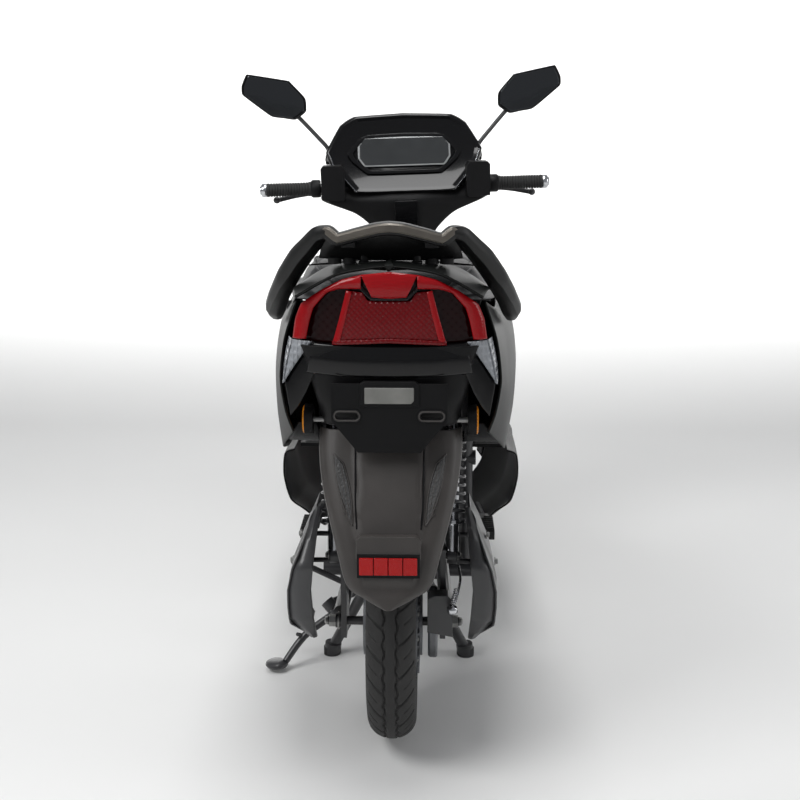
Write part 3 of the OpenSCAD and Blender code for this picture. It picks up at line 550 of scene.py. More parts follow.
def roof(stations, along=40, across=60, soft=(1.0, 0.8)):
    """A sheet over the middle plane: lines [y, z] from the left edge to the
    middle, with their mirror image."""
    return patch([[[R + x, y, z] for y, z in line + [(-y, z) for y, z in line[::-1]]] for x, line in stations],
        along, across, soft)


cover = facing(grid(roof([
    (-206, [(146, 834), (84, 868), (30, 879), (2, 881)]), (-204, [(147, 838), (84, 873), (30, 884), (2, 886)]),
    (-110, [(159, 837), (96, 872), (34, 883), (2, 884)]), (-34, [(167, 825), (109, 862), (40, 873), (2,
        874)])])), (0, 0, 1))
piece("tail_cover_shell", [(cover, panel_grey)], "chassis", ["tail_cover"], wall=3.2, solid=False)

# %% [markdown]
# ## Tail lamp
# Seen from behind, the lamp is the eye-catcher: a bright red light band runs
# round a dark bowl, dips to a six-sided panel in the middle, and frames a
# dotted brake lens. Clear ribbed corners hold the indicators. All of them lie
# on one face that curves forward at its sides, so a ribbon between two lines
# [y, z] is mapped onto x = face + 30 (y / 156)^2.

# %% Ribbons on the lamp face
def face_x(y):
    """How far back the lamp face is: it curves forward with y squared."""
    return R - 215 + 30 * (np.abs(y) / 156) ** 2


def ribbon(upper, lower, along=61, across=9, back=0.0, crown=0.0, soft=0.25):
    """A sheet between two lines on the lamp face. Its middle stands out by
    crown x sin(pi v), v being the way from the upper to the lower line."""
    a, b = (curve(p, along, soft) for p in (upper, lower))
    v = np.linspace(0, 1, across)[None, :, None]
    yz = a[:, None] * (1 - v) + b[:, None] * v
    x = face_x(yz[..., 0]) + back - crown * np.sin(np.pi * v[..., 0])
    return facing(grid(np.concatenate([x[..., None], yz], -1)), (-1, 0, 0))


outer = [(44, 872), (74, 864), (108, 846), (139, 824), (149, 800), (154, 768)]
inner = [(44, 850), (78, 849), (98, 842), (119, 818), (126, 796), (132, 768)]
band = ribbon(outer, inner, crown=4.0, soft=0.3)
middle = ribbon([(-44, 872), (0, 877), (44, 872)], [(-27, 837), (0, 835), (27, 837)], 41, crown=3.0, soft=0)
wing = ribbon([(44, 872), (44, 861), (44, 850)], [(27, 860), (27, 848), (27, 837)], 21, crown=0.5, soft=0)
bowl = ribbon([(-150, 800), (-108, 842), (-44, 868), (44, 868), (108, 842), (150, 800)], [(-140, 763), (-90, 759),
    (-30, 762), (30, 762), (90, 759), (140, 763)], 81, 14, back=12, soft=0.2)
brake = ribbon([(-67, 846), (-42, 844), (-33, 831), (33, 831), (42, 844), (67, 846)], [(-89, 762), (-52, 764), (-18,
    767), (18, 767), (52, 764), (89, 762)], 76, 12, back=3, crown=1.5, soft=0.1)
frame_l = ribbon([(67, 847), (78, 804), (90, 761)], [(58, 845), (68, 803), (79, 761)], 21, back=1, crown=1.2, soft=0)
sill = ribbon([(-90, 767), (0, 772), (90, 767)], [(-90, 760), (0, 765), (90, 760)], 31, back=0.5, crown=1.2)
seam = ribbon([(-45, 851), (-29, 837), (29, 837), (45, 851)], [(-43, 846), (-28, 832), (28, 832), (43, 846)], 31,
    back=0.8, crown=0.5, soft=0)
piece("tail_lamp_lenses", [(both(band), red_band), (middle, red_band), (bowl, red_dark), (brake, red_lens),
    (both(frame_l), red_band), (sill, red_lens), (seam, black_gloss)],
      "chassis", ["tail_lamp"], wall=3.0, solid=False)

# %% Indicator corners
corner = ribbon([(154, 766), (160, 742), (166, 718), (170, 696)], [(122, 764), (139, 742), (155, 718), (169, 695)],
    31, 10, crown=3.0, soft=0.2)
reach = grid(patch([[[R - 183, 156, 766], [R - 183, 166, 728], [R - 183, 172, 694]], [[R - 158, 163, 766], [R - 158,
    171, 728], [R - 158, 174, 694]]], 8, 16))
piece("indicator_corners", [(both(corner), clear_lens), (both(facing(reach, (0, 1, 0))), clear_lens)], "chassis",
    ["rear_indicators"], wall=2.0, solid=False)

# %% [markdown]
# ## Under the lamp
# A black moulding closes the tail from the lamp down to the mudguard. It
# holds the number plate lamp, a window in a raised frame, and two screws.

# %% Tail underside
def shield(levels, along=40, across=60, soft=(0.9, 0.8)):
    """A sheet bent round the middle plane: at each height z a line [x, y]
    from the left edge to beside the middle, with its mirror image."""
    return patch([[[x, y, z] for x, y in line] + [[x, -y, z] for x, y in line[::-1]] for z, line in levels], along,
        across, soft)


under = facing(grid(shield([
    (620, [(R - 126, 112), (R - 150, 107), (R - 166, 84), (R - 170, 30)]), (664, [(R - 122, 122), (R - 172, 117),
        (R - 190, 92), (R - 195, 30)]),
    (716, [(R - 117, 136), (R - 180, 131), (R - 198, 105), (R - 203, 30)]), (758, [(R - 112, 150), (R - 188, 144),
        (R - 204, 118), (R - 208, 34)])])), (-1, 0, 0))
chin = ribbon([(-121, 763), (-60, 760), (60, 760), (121, 763)], [(-133, 712), (-70, 709), (70, 709), (133, 712)], 49,
    14, back=4, crown=7.0)
cheek = ribbon([(121, 764), (138, 742), (154, 718), (169, 695)], [(120, 712), (134, 680), (148, 655), (160, 640)],
    31, 10, back=6, crown=1.0)
window_at = np.array([R - 213, 0, 680.0])
frame_ring = join(plate([(-47, -17), (47, -17), (47, 19), (40, 24), (-40, 24), (-47, 19)], window_at + [10, 0, 0],
    (0, -1, 0), (0, 0, 1), 13))
glass = plate([(-39, -12), (34, -12), (39, -7), (39, 14), (-39, 14)], window_at + [-1.5, 0, 0], (0, -1, 0), (0, 0,
    1), 3)
screws = join(*[lathe([[-12, 5], [0, 5], [2.0, 4.2], [2.6, 2.6]], [R - 203, s * 78, 657], (-1, 0, 0),
    20) for s in (-1, 1)])
window_grey = finish("plate_lamp_window", (0.2, 0.2, 0.185), 0.3, coat=0.6, vary=0.5, patches=24, grain=0.05)
piece("tail_chin", [(under, black_plastic), (chin, black_gloss), (both(cheek), black_gloss)], "chassis",
    ["tail_underside"], wall=3.0, solid=False)
piece("plate_lamp", [(frame_ring, black_plastic), (glass, window_grey), (screws, zinc)], "chassis", bevel=1.2)

# %% [markdown]
# ## Rear mudguard
# The long guard is one satin moulding: a raised middle channel, flanks that
# fold forward, a pointed tip, and two leaf-shaped vents with a fine mesh. The
# channel is added to the patch: points near the middle move out by a few
# millimetres, with a smooth step at |y| = 52 that narrows towards the tip.

# %% Guard surface
levels_of_guard = [
    (346, [(R - 262, 12), (R - 274, 8), (R - 279, 3)]), (362, [(R - 250, 44), (R - 266, 40), (R - 275, 20)]),
    (378, [(R - 236, 69), (R - 254, 66), (R - 268, 42)]), (424, [(R - 218, 84), (R - 238, 81), (R - 253, 56)]),
    (474, [(R - 197, 98), (R - 217, 95), (R - 233, 70)]), (524, [(R - 175, 110), (R - 195, 107), (R - 211, 78)]),
    (572, [(R - 149, 117), (R - 169, 114), (R - 187, 86)]), (614, [(R - 125, 117), (R - 147, 114), (R - 167, 86)])]
guard = shield(levels_of_guard, 90, 120, (1.0, 0.55))
half = 52 - 14 * np.clip((470 - guard[..., 2]) / 110, 0, 1)
raised = np.clip((half - np.abs(guard[..., 1])) / 5 + 0.5, 0, 1) * np.clip((guard[..., 2] - 378) / 20, 0, 1)
guard[..., 0] -= 5.0 * raised * raised * (3 - 2 * raised)
piece("rear_mudguard_moulding", [(facing(grid(guard), (-1, 0, 0)), mudguard_plastic)], "chassis", ["rear_mudguard"],
    wall=3.0, solid=False)

# %% Vents
mesh_dark = finish("vent_mesh", (0.05, 0.05, 0.05), 0.5, vary=0.1, grain=0.9, grain_size=260, pattern="cells")


def on_guard(y, z):
    """The x of the guard at [y, z]: between the two nearest levels."""
    zs = np.array([l[0] for l in levels_of_guard], float)
    xs = np.array([l[1][2][0] for l in levels_of_guard])
    ys = np.array([l[1][2][1] for l in levels_of_guard])
    x, edge = np.interp(z, zs, xs), np.interp(z, zs, ys)
    return x + np.clip((np.abs(y) - edge) / 26, 0, 1) * 18


def vent(out=1.2, grow=0.0):
    """A leaf on the guard: its width swells by a sine and ends in a slanted tip."""
    s = np.linspace(0, 1, 25)[:, None]
    z = 570 + grow - (88 + 2 * grow) * s
    middle_y = 83 - 20 * s
    w = grow + 2.5 + 7.0 * np.sin(np.pi * (0.2 + 0.78 * s))
    y = middle_y + w * np.linspace(-1, 1, 9)[None]
    z = np.broadcast_to(z, y.shape) + 7 * np.linspace(-1, 1, 9)[None]
    return facing(grid(np.stack([on_guard(y, z) - out, y, z], -1)), (-1, 0, 0))


ribs = join(*[tube([[on_guard(y1, z1) - 2.2, y1, z1], [on_guard(y2, z2) - 2.2, y2, z2]], 0.7, 6, 8)
              for y1, z1, y2, z2 in [(75 - 1.9 * k, 555 - 8.4 * k, 91 - 1.9 * k, 567 - 8.4 * k) for k in range(10)]])
long_ribs = join(*[tube([[on_guard(83 + d, 566) - 2.2, 83 + d, 566], [on_guard(74 + d, 526) - 2.2, 74 + d, 526],
    [on_guard(64 + 0.6 * d, 486) - 2.2, 64 + 0.6 * d, 486]], 0.6, 12, 8) for d in (-3.2, 3.2)])
rim_line = vent(1.6, 1.5)[0].reshape(25, 9, 3)
rim_line = np.concatenate([rim_line[:, 0], rim_line[-1, 1:-1], rim_line[::-1, -1], rim_line[0, 1:-1][::-1],
    rim_line[:1, 0]])
vent_rim = tube(rim_line, 1.1, 140, 8, soft=0)
# The grooves beside the raised channel are not cut: raised black lines stand in for them, as painted shade in the
# creases; the ridges beside them keep the guard's own colour.
grooves = join(*[tube([[on_guard(y, z) - 2.6, y, z] for y, z in ((56, 604), (55, 560), (54, 510), (51, 468))], 1.7,
    40, 8)])
ridges = join(*[tube([[on_guard(y, z) - 3.6, y, z] for y, z in ((52, 604), (51, 560), (50, 510), (47, 468))], 1.0,
    40, 8)])
piece("mudguard_grooves", [(both(grooves), black_gloss), (both(ridges), mudguard_plastic), (both(vent_rim),
    mudguard_plastic)], "chassis")
piece("mudguard_vents", [(both(vent(1.4, 2.5)), black_plastic), (both(vent(2.4)), mesh_dark), (both(ribs),
    mudguard_plastic), (both(long_ribs), mudguard_plastic)], "chassis", wall=0, solid=False)

# %% Side reflectors
# The amber reflector lens carries a faint painted glow, though it is no lamp.
cup = lathe([[0, 24], [13, 25.5], [14, 25.5], [14, 23.5]], [R - 146, 126, 626], (0, 1, 0), 36)
amber = lathe([[12.5, 23.4], [15.5, 23], [17, 20], [17.4, 0.5]], [R - 146, 126, 626], (0, 1, 0), 36)
stalk = lathe([[0, 4.8], [22, 4.8]], [R - 146, 104, 626], (0, 1, 0), 16)
piece("side_reflector_cups", [(both(cup), black_plastic), (both(amber), amber_lens), (both(stalk), zinc)], "chassis",
    ["side_reflectors"])

# %% Plate slots
angle = np.linspace(0, 2 * np.pi, 40, endpoint=False)
oval = np.stack([0 * angle, np.sign(np.cos(angle)) * 12.5 + 7.5 * np.cos(angle), 7.5 * np.sin(angle)],
    1) + [R - 215.5, 67, 648]
oval = np.vstack([oval, oval[:1]])
rims = [sweep(oval, round_section(1.7, 8), 161, (1, 0, 0), 0), sweep(oval * [1, 1.0, 1] + [1, 0, 0],
    round_section(2.6, 8), 161, (1, 0, 0), 0)]
piece("plate_slot_rims", [(both(rims[0]), mudguard_plastic), (both(rims[1]), black_plastic)], "chassis")

# %% Reflector and plate bracket
shelf = plate([(-51, -17), (51, -17), (51, 14), (44, 20), (-44, 20), (-51, 14)], [R - 256, 0, 446], (0, -1, 0), (0,
    0, 1), 14)
cup = plate([(-50, -21), (50, -21), (50, 19), (-50, 19)], [R - 264, 0, 419], (0, -1, 0), (0, 0, 1), 8)
glass = join(*[plate([(-46 + 23.2 * k, -14), (-24 + 23.2 * k, -14), (-24 + 23.2 * k, 14), (-46 + 23.2 * k, 14)],
    [R - 271, 0, 418], (0, -1, 0), (0, 0, 1), 5) for k in range(4)])
piece("reflector_mount", [(shelf, mudguard_plastic), (cup, black_plastic), (glass, red_prism_painted_glow)], "chassis",
    ["rear_reflector"], bevel=1.0)

# %% [markdown]
# ## Grab rail
# The pillion's rail is a flat-oval tube that rises to a shallow peak, dips at
# two notches and runs down both sides to a drooping tip. Its rear face is a
# bronze strip on a black casting. The oval is carried along the rail's path.

# %% Rail
rail_half = [(36, 203, 768), (0, 201, 788), (-40, 190, 816), (-80, 172, 850), (-112, 147, 888), (-134, 128, 910),
    (-152, 112, 929), (-162, 98, 933), (-168, 82, 922), (-174, 50, 931), (-180, 20, 939)]
rail_line = np.array(rail_half + [(-182, 0, 941)] + [(x, -y, z) for x, y, z in rail_half[::-1]], float) + [R, 0, 0]
flat_oval = np.array([[1, -0.3], [1, 0.3], [0.72, 0.85], [0.2, 1], [-0.2, 1], [-0.72, 0.85], [-1, 0.3], [-1, -0.3],
    [-0.72, -0.85], [-0.2, -1], [0.2, -1], [0.72, -0.85]]) * [12, 11]
ends = np.interp(np.arange(len(rail_line)), [0, 1, 3, len(rail_line) - 4, len(rail_line) - 2, len(rail_line) - 1],
    [0.8, 1.45, 1.5, 1.5, 1.45, 0.8])
ends[5:-5] = np.interp(np.arange(len(rail_line) - 10), [0, 2, len(rail_line) - 13, len(rail_line) - 11], [1.35, 1, 1,
    1.35])
rail = sweep(rail_line, flat_oval, 161, soft=0.45, scale=ends)
strip_line = rail_line[6:-6] + [-8.5, 0, 1.5]
strip = sweep(strip_line, np.array([[4.5, -5], [4.5, 5], [2, 8], [-3, 8], [-4.5, 4], [-4.5, -4], [-3, -8], [2,
    -8]]) * [1, 0.9], 81, soft=0.25)
web_top = rail_line[6:-6] + [3, 0, -4]
web = facing(grid(patch([web_top, web_top * [1, 1, 0] + [14, 0, 906], web_top * [1, 1.04, 0] + [34, 0, 886 ]], 12,
    60)), (-1, 0, 0))
piece("grab_rail_web", [(web, rail_black)], "chassis", wall=5.0, solid=False)
deck = plate([(-39, -62), (39, -62), (39, 62), (-39, 62)], [R - 117, 0, 917], (1, 0, 0), (0, 1, 0), 6)
links = both(block([R - 158, 66, 914], [24, 22, 10]))
posts = join(*[lathe([[0, 9], [4, 9], [6, 7], [34, 7], [36, 9]], [R + x, y, 880], (0, 0, 1), 24) for x in (-140,
    -94) for y in (-42, 42)])
rubbers = join(*[lathe([[0, 11], [9, 11], [10, 9.5]], [R - 128, s * y, 879], (0, 0.0, 1), 24) for s in (-1,
    1) for y in (66, 90)])
heads = join(*[bolt([R + x, y, 923], (0, 0, 1), 7, 4) for x in (-140, -94) for y in (-42, 42)])
piece("grab_rail_casting", [(rail, rail_black), (strip, rail_bronze), (deck, rail_black), (links, rail_black),
    (posts, rail_black), (rubbers, rubber), (heads, zinc)],
      "chassis", ["grab_rail"], bevel=1.0)

# %% [markdown]
# ## Seat
# The dual seat is foam under stretched vinyl: a raised pillion step behind a
# wide rider part that narrows to the nose. Cross-lines give its shape. The
# foam makes each line bulge between the seams, so the half-lines are crowned,
# and the seam dips where the top panel is sewn to the side band.

# %% Seat shape
seat_stations = [(-21, 802, 838, 116, 84), (-14, 801, 856, 134, 102), (14, 800, 868, 154, 124), (100, 800, 873, 164,
    136), (200, 800, 867, 165, 139), (256, 800, 856, 165, 139),
                 (292, 786, 834, 164, 139), (322, 756, 805, 162, 139), (362, 727, 788, 159, 136), (430, 720, 783,
                     153, 126), (500, 718, 783, 142, 110),
                 (570, 716, 787, 114, 82), (612, 717, 782, 82, 58), (630, 719, 770, 60, 40)]


def seat_line(x, low, top, wide, seam):
    """Half a cross-line from the middle of the top down to the base: a
    crowned top, a dip at the seam, and a side band that bulges a little."""
    high = top - low
    return [(x, 0, top), (x, seam * 0.35, top - 0.5), (x, seam * 0.7, top - 3.5), (x, seam * 0.93, top - 9), (x,
        seam + 3, top - 15), (x, seam + 9, top - 21),
            (x, seam + (wide - seam) * 0.72, low + high * 0.55), (x, wide + 1, low + high * 0.3), (x, wide + 1,
                low + 8), (x, wide - 5, low)]


lines = [seat_line(*s) for s in seat_stations]
ring = np.array([[(R + x, y, z) for x, y, z in line] + [(R + x, -y, z) for x, y, z in line[:0:-1]] for line in lines])
seat_grid = patch(ring, 150, 132, (1.0, 0.9), closed=True)
print("seat from", seat_grid[..., 0].min().round(), "to", seat_grid[..., 0].max().round(), "top", seat_grid[...,
    2].max().round())

# %% Seat vinyl
vinyl = finish("seat_vinyl", (0.019, 0.019, 0.02), 0.44, vary=0.25, patches=12, gloss_vary=0.07, grain=0.35,
    grain_size=620, worn=0.12, pattern="cells", edge=0.003)
thread = finish("seat_thread", (0.05, 0.05, 0.052), 0.6, vary=0.2, grain=0.4, grain_size=3000)

# %% Sewn channels and swelling
def sewn(points):
    """The top of the grid pushed in along six cross channels. The push is
    depth x exp(-(distance / width)^2), straight down."""
    x, y, z = (points[..., i] for i in range(3))
    across = np.abs(np.linspace(0, 2, points.shape[1], endpoint=False) - 1)
    top = np.clip((across - 0.52) / 0.05, 0, 1)
    marks = np.array([R + v for v in (60, 130, 200, 395, 470, 545)])
    near = np.min(np.abs(x[..., None] - marks - 0.1 * np.abs(y)[..., None]), -1)
    push = 3.2 * top * np.exp(-(near / 6) ** 2)
    out = points.copy()
    out[..., 2] -= push
    return out


seat_grid = sewn(seat_grid)
cushion = piece("seat_cushion_padded", [(grid(seat_grid, (False, True), True), vinyl)], "seat", ["seat_cushion"],
    levels=0, sharp=60)


def swell(obj, pressure=3.0, cap=0.004):
    """Foam under vinyl: a short cloth simulation with inner pressure. A point
    moves at most `cap` metres, and the base stays where it is."""
    before = np.empty(len(obj.data.vertices) * 3)
    obj.data.vertices.foreach_get("co", before)
    before = before.reshape(-1, 3)
    base = before[:, 2] < np.interp(before[:, 0] * 1000, [R + s[0] for s in seat_stations],
        [s[1] for s in seat_stations]) / 1000 + 0.012
    group = obj.vertex_groups.new(name="pinned")
    group.add(np.flatnonzero(base).tolist(), 1.0, "REPLACE")
    cloth = obj.modifiers.new("cloth", "CLOTH")
    cloth.settings.effector_weights.gravity = 0
    cloth.settings.use_pressure, cloth.settings.uniform_pressure_force = True, pressure
    cloth.settings.vertex_group_mass = "pinned"
    cloth.settings.tension_stiffness = cloth.settings.compression_stiffness = 40
    for frame_number in range(1, 13):
        scene.frame_set(frame_number)
    after = np.empty_like(before)
    obj.evaluated_get(bpy.context.evaluated_depsgraph_get()).data.vertices.foreach_get("co", after.reshape(-1))
    obj.modifiers.remove(cloth)
    move = after - before
    length = np.linalg.norm(move, axis=1, keepdims=True)
    move *= np.minimum(1, cap / np.maximum(length, 1e-9))
    obj.data.vertices.foreach_set("co", (before + move).ravel())
    obj.data.update()
    scene.frame_set(1)
    print("swelled by up to", round(1000 * float(np.linalg.norm(move, axis=1).max()), 1), "mm")


swell(cushion)

# %% Piping and stitches
columns = seat_grid.shape[1]
seam_at = round(4.4 / 19 * columns)
welt = join(*[tube(seat_grid[4:-3, k] + [0, s * 0.6, 0.8], 1.9, 140, 8) for k, s in ((seam_at, 1),
    (columns - seam_at, -1))])
inner_at = round(3.55 / 19 * columns)
walk = [seat_grid[6:-5, k] + [0, 0, 1.0] for k in (inner_at, columns - inner_at)]
stitches = join(*[tube(w[i:i + 2] * 1.0 + [[0.6, 0, 0], [-0.6, 0, 0]], 0.55, 3, 5) for w in walk for i in range(0,
    len(w) - 1)])
piece("seat_piping", [(welt, vinyl), (stitches, thread)], "seat")

# %% [markdown]
# ## Bars, grips and levers
# The handlebar ends carry ribbed rubber grips between a collar and a chromed
# cap. A lathe makes them: the profile's radius rises a little at each rib.

# %% Grips
def along_bar(y0, y1, profile, sides=40):
    """A lathe on the handlebar's line, with a profile from y0 to y1."""
    s = np.sign(y1 - y0)
    return lathe([[abs(y - y0), r] for y, r in profile], [BAR_X, y0, BAR_Z], (0, s, 0), sides)


rib = [(y + d, r) for y in np.arange(228, 318, 6.4) for d, r in ((0, 14.2), (0.9, 16.1), (4.6, 16.1), (5.5, 14.2))]
grip = along_bar(221, 330, [(221, 13), (221, 17), (226, 17.2), (227.5, 14.6)] + rib + [(321, 15.2), (325, 15.8),
    (325, 13)])
collar = along_bar(198, 221, [(198, 17), (199, 20), (203, 21), (216, 21), (219.5, 19.5), (221, 17)])
cap = along_bar(325.5, 341, [(325.5, 12), (325.5, 15.6), (328, 16.2), (334, 16.2), (337, 14.5), (338, 10.5), (340.6,
    10), (341, 7)])
piece("bar_grips", [(turned(both(grip)), rubber), (turned(both(collar)), black_plastic), (turned(both(cap)), steel)],
    "steering", ["grips"])

# %% Brake levers
lever = sweep([(BAR_X + 36, 204, BAR_Z - 9), (BAR_X + 42, 226, BAR_Z - 12), (BAR_X + 40, 262, BAR_Z - 18),
    (BAR_X + 33, 296, BAR_Z - 25), (BAR_X + 30, 306, BAR_Z - 27)],
              round_section(4.2, 14, 1.7), 40, scale=[1.3, 1.1, 0.9, 0.85, 0.8])
tip = lathe([[-8.4, 1.5], [-7, 5], [-4, 7.4], [0, 8.4], [4, 7.4], [7, 5], [8.4, 1.5]], [BAR_X + 30, 304, BAR_Z - 26],
    (0, 1, 0), 24)
clamp = block([BAR_X + 36, 205, BAR_Z - 8], [20, 16, 20])
pivot_pin = lathe([[-12, 4.5], [12.5, 4.5]], [BAR_X + 38, 206, BAR_Z - 8], (0, 0, 1), 16)
piece("brake_lever_pair", [(turned(both(lever)), bar_steel), (turned(both(tip)), bar_steel), (turned(both(clamp)),
    black_plastic), (turned(both(pivot_pin)), zinc)], "steering", ["brake_levers"], bevel=1.5)

# %% Switch housings
shell = plate([(-27, -37), (22, -40), (27, -34), (27, 32), (20, 41), (-22, 41), (-28, 34)], [BAR_X - 13, 168,
    BAR_Z + 14], (0, -1, 0), (0, 0, 1), 56)
top_face = plate([(-21, -9), (21, -9), (21, 9), (-21, 9)], [BAR_X - 14.2, 168, BAR_Z + 39], (0, -1, 0), (0, 0, 1), 2)
rockers = join(*[plate([(-9, -5), (9, -5), (9, 5), (-9, 5)], [BAR_X - 16.5, 168 + dy, BAR_Z + dz], (0, -1, 0), (0, 0,
    1), 5) for dy, dz in ((-6, 18), (8, 1), (-8, -16))])
kill = plate([(-6, -5), (6, -5), (6, 5), (-6, 5)], [BAR_X - 17, -184, BAR_Z + 12], (0, -1, 0), (0, 0, 1), 5)
button_red = finish("switch_red", (0.3, 0.01, 0.012), 0.35, coat=0.4, grain=0.05)
switch_grey = finish("switch_grey", (0.09, 0.09, 0.09), 0.4, grain=0.2, worn=0.2)
piece("switch_pods", [(turned(both(shell)), black_plastic), (turned(both(top_face)), switch_grey),
    (turned(both(rockers)), black_gloss), (turned(kill), button_red)],
      "steering", ["switch_housings"], bevel=2.0)

# %% [markdown]
# ## Instrument pod
# The pod is a gloss-black shell with a wide six-sided face that leans back,
# a raised bezel and an eight-sided grey display. Its outline is smoothed a
# little at the corners and carried from the face forward to the headlamp.

# %% Pod shell
POD = [(6, 168), (114, 163), (148, 143), (183, 83), (170, 48), (119, -11), (6, -13)]


def pod_x(z):
    """The face leans: it is further forward higher up."""
    return BAR_X - 44 + 64 * (z + 12) / 180


def pod_ring(step, wide=1.0, tall=1.0, push=0.0, at=None):
    """The pod's outline, scaled about its middle: [x, y, z] for each point."""
    half = np.array([(p[0] * wide, 76 + (p[1] - 76) * tall) for p in POD])
    yz = np.vstack([half, half[::-1] * [-1, 1]])
    x = pod_x(yz[:, 1]) + push if at is None else np.full(len(yz), float(at))
    return np.concatenate([x[:, None], yz[:, :1], yz[:, 1:] + BAR_Z + step], 1)


def outline(rings, along, across=140, soft=(0.6, 0.3)):
    """A closed skin through outlines, its corners a little rounded."""
    return patch(rings, along, across, soft, closed=True)


shell_rings = [pod_ring(0, 0.9, 0.86, 2.2), pod_ring(0, 0.955, 0.94, -1.6), pod_ring(0, 0.985, 0.975, 0), pod_ring(0,
    1.0, 1.0, 8), pod_ring(0, 0.93, 0.97, 18),
               pod_ring(0, 0.8, 0.93, 30), pod_ring(-8, 0.7, 0.76, 0, BAR_X + 100), pod_ring(-12, 0.6, 0.6, 0,
                   BAR_X + 150)]
pod_shell = grid(outline(shell_rings, 57), (False, True), True)
bezel = grid(outline([pod_ring(0, 0.72, 0.5, 2.5), pod_ring(0, 0.72, 0.5, -3.5), pod_ring(0, 0.66, 0.42, -3.5),
    pod_ring(0, 0.64, 0.40, 1.5)], 10, soft=(0.3, 0.25)), (False, True))
line_pts = pod_ring(0, 0.965, 0.955, -2.6)[[3, 4, 5]]
silver = join(tube(line_pts, 0.9, 21, 6, soft=0), tube(line_pts * [1, -1, 1], 0.9, 21, 6, soft=0))
piece("pod_shell", [(turned(pod_shell), black_gloss), (turned(bezel), black_gloss), (turned(silver), steel)],
    "steering", ["instrument_pod"], bevel=0.8)

# %% Display window
def octagon(wide, tall, cut, out):
    """An eight-sided outline on the pod face: half width, half height, corner."""
    o = np.array([(-wide, -tall + cut), (-wide + cut * 0.7, -tall), (wide - cut * 0.7, -tall), (wide, -tall + cut),
        (wide, tall - cut), (wide - cut * 0.7, tall), (-wide + cut * 0.7, tall), (-wide, tall - cut)], float)
    z = 82 + o[:, 1] * math.cos(math.atan(64 / 180))
    return np.stack([pod_x(z) - out, o[:, 0], z + BAR_Z], 1)


def slab(front, thick):
    """A window slab: its outline, and the same outline further in."""
    return grid(np.stack([front, front + [thick, 0, 0]]), (False, True), True)


border = finish("display_border", (0.3, 0.31, 0.31), 0.3, metal=0.5, coat=0.5, vary=0.2)
piece("display_window", [(turned(slab(octagon(108, 36, 20, 3.2), 4)), border), (turned(slab(octagon(104, 32, 18,
    4.0), 4)), display_glass)], "steering", ["display"], bevel=0.8)

# %% Handlebar cover
def around_stem(levels, **how):
    """A sheet bent round the stem, open ahead: lines [x, y] at heights z."""
    return shield([(z, [(BAR_X + x, y) for x, y in line]) for z, line in levels], **how)


funnel = facing(grid(around_stem([
    (BAR_Z - 129, [(72, 60), (-8, 58), (-22, 32), (-24, 12)]), (BAR_Z - 98, [(70, 82), (-18, 74), (-32, 36), (-34,
        13)]),
    (BAR_Z - 62, [(50, 124), (-25, 112), (-40, 38), (-42, 14)]), (BAR_Z - 30, [(14, 196), (-25, 180), (-46, 40),
        (-47, 14)]), (BAR_Z - 4, [(16, 190), (-14, 172), (-30, 40), (-30,
        14)])], across=80, soft=(0.8, 0.35))), (-1, 0, 0))
spine = sweep([(BAR_X - 25, 0, BAR_Z - 126), (BAR_X - 35, 0, BAR_Z - 98), (BAR_X - 43, 0, BAR_Z - 62), (BAR_X - 47,
    0, BAR_Z - 28)], [(-22, -1.5), (-20, 2.2), (20, 2.2), (22, -1.5)], 24, (1, 0, 0))
piece("bar_cover", [(turned(funnel), black_plastic), (turned(spine), black_gloss)], "steering", ["handlebar_cover"],
    wall=2.6, solid=False)

# %% [markdown]
# ## Mirrors
# Each mirror is a stretched six-sided housing on a bent stem that screws into
# a knuckle on the bar. The glass sits a little inside the rim.

# %% Mirror housings
MIRROR = np.array([(224, 182), (229, 174), (251, 160), (278, 164), (306, 169), (338, 193), (370, 219), (373, 228),
    (372, 242), (361, 265), (352, 266), (266, 250), (258, 245), (226, 209)], float)
MIRROR_MID = np.array([300, 214])


def mirror_ring(x, scale):
    """The mirror's outline scaled about its middle, at x ahead of the bar."""
    yz = MIRROR_MID + (MIRROR - MIRROR_MID) * scale
    return np.stack([np.full(len(yz), BAR_X + x), yz[:, 0], yz[:, 1] + BAR_Z], 1)


housing = grid(patch([mirror_ring(17.5, 0.93), mirror_ring(14.5, 0.955), mirror_ring(14.2, 0.985), mirror_ring(17,
    1.0), mirror_ring(23, 0.97), mirror_ring(30, 0.84), mirror_ring(33.6, 0.6), mirror_ring(34, 0.2)], 43, 120, (0.8, 0.5), True), (False, True), True)
glass = grid(patch([mirror_ring(16.2, 0.95), mirror_ring(15.6, 0.5), mirror_ring(15.4, 0.0)], 12, 120, (1, 0.5),
    True), (False, True))
stem = tube([(BAR_X + 27, 266, BAR_Z + 178), (BAR_X + 26, 246, BAR_Z + 168), (BAR_X + 21, 200, BAR_Z + 118),
    (BAR_X + 18, 178, BAR_Z + 92), (BAR_X + 18, 176, BAR_Z + 72), (BAR_X + 18, 176,
    BAR_Z + 56)], 5.0, 60, 16, (1, 0, 0), 0.6)
knuckle = lathe([[0, 7], [3, 8.5], [20, 8.5], [22, 7.2], [30, 6]], [BAR_X + 18, 176, BAR_Z + 54], (0, 0, 1), 24)
nut = lathe([[0, 9.5], [7, 9.5]], [BAR_X + 18, 176, BAR_Z + 62], (0, 0, 1), 6)
piece("mirror_pair", [(turned(both(housing)), black_plastic), (turned(both(stem)), bar_steel),
    (turned(both(knuckle)), black_plastic), (turned(both(nut)), zinc)], "steering", ["mirrors"])
piece("mirror_glass_pair", [(turned(both(facing(glass, (-1, 0, 0)))), mirror_glass)], "steering", ["mirror_glasses"],
    wall=1.0, solid=False)

# %% [markdown]
# ## Rear suspension
# Two coil springs carry the tail. A coil is a tube swept along a helix:
# along the shock's axis by s, and round it by radius x (cos, sin) of the turn
# angle.

# %% Springs
LOW, HIGH = np.array([R - 14, 104, 347.0]), np.array([R + 22, 104, 590.0])


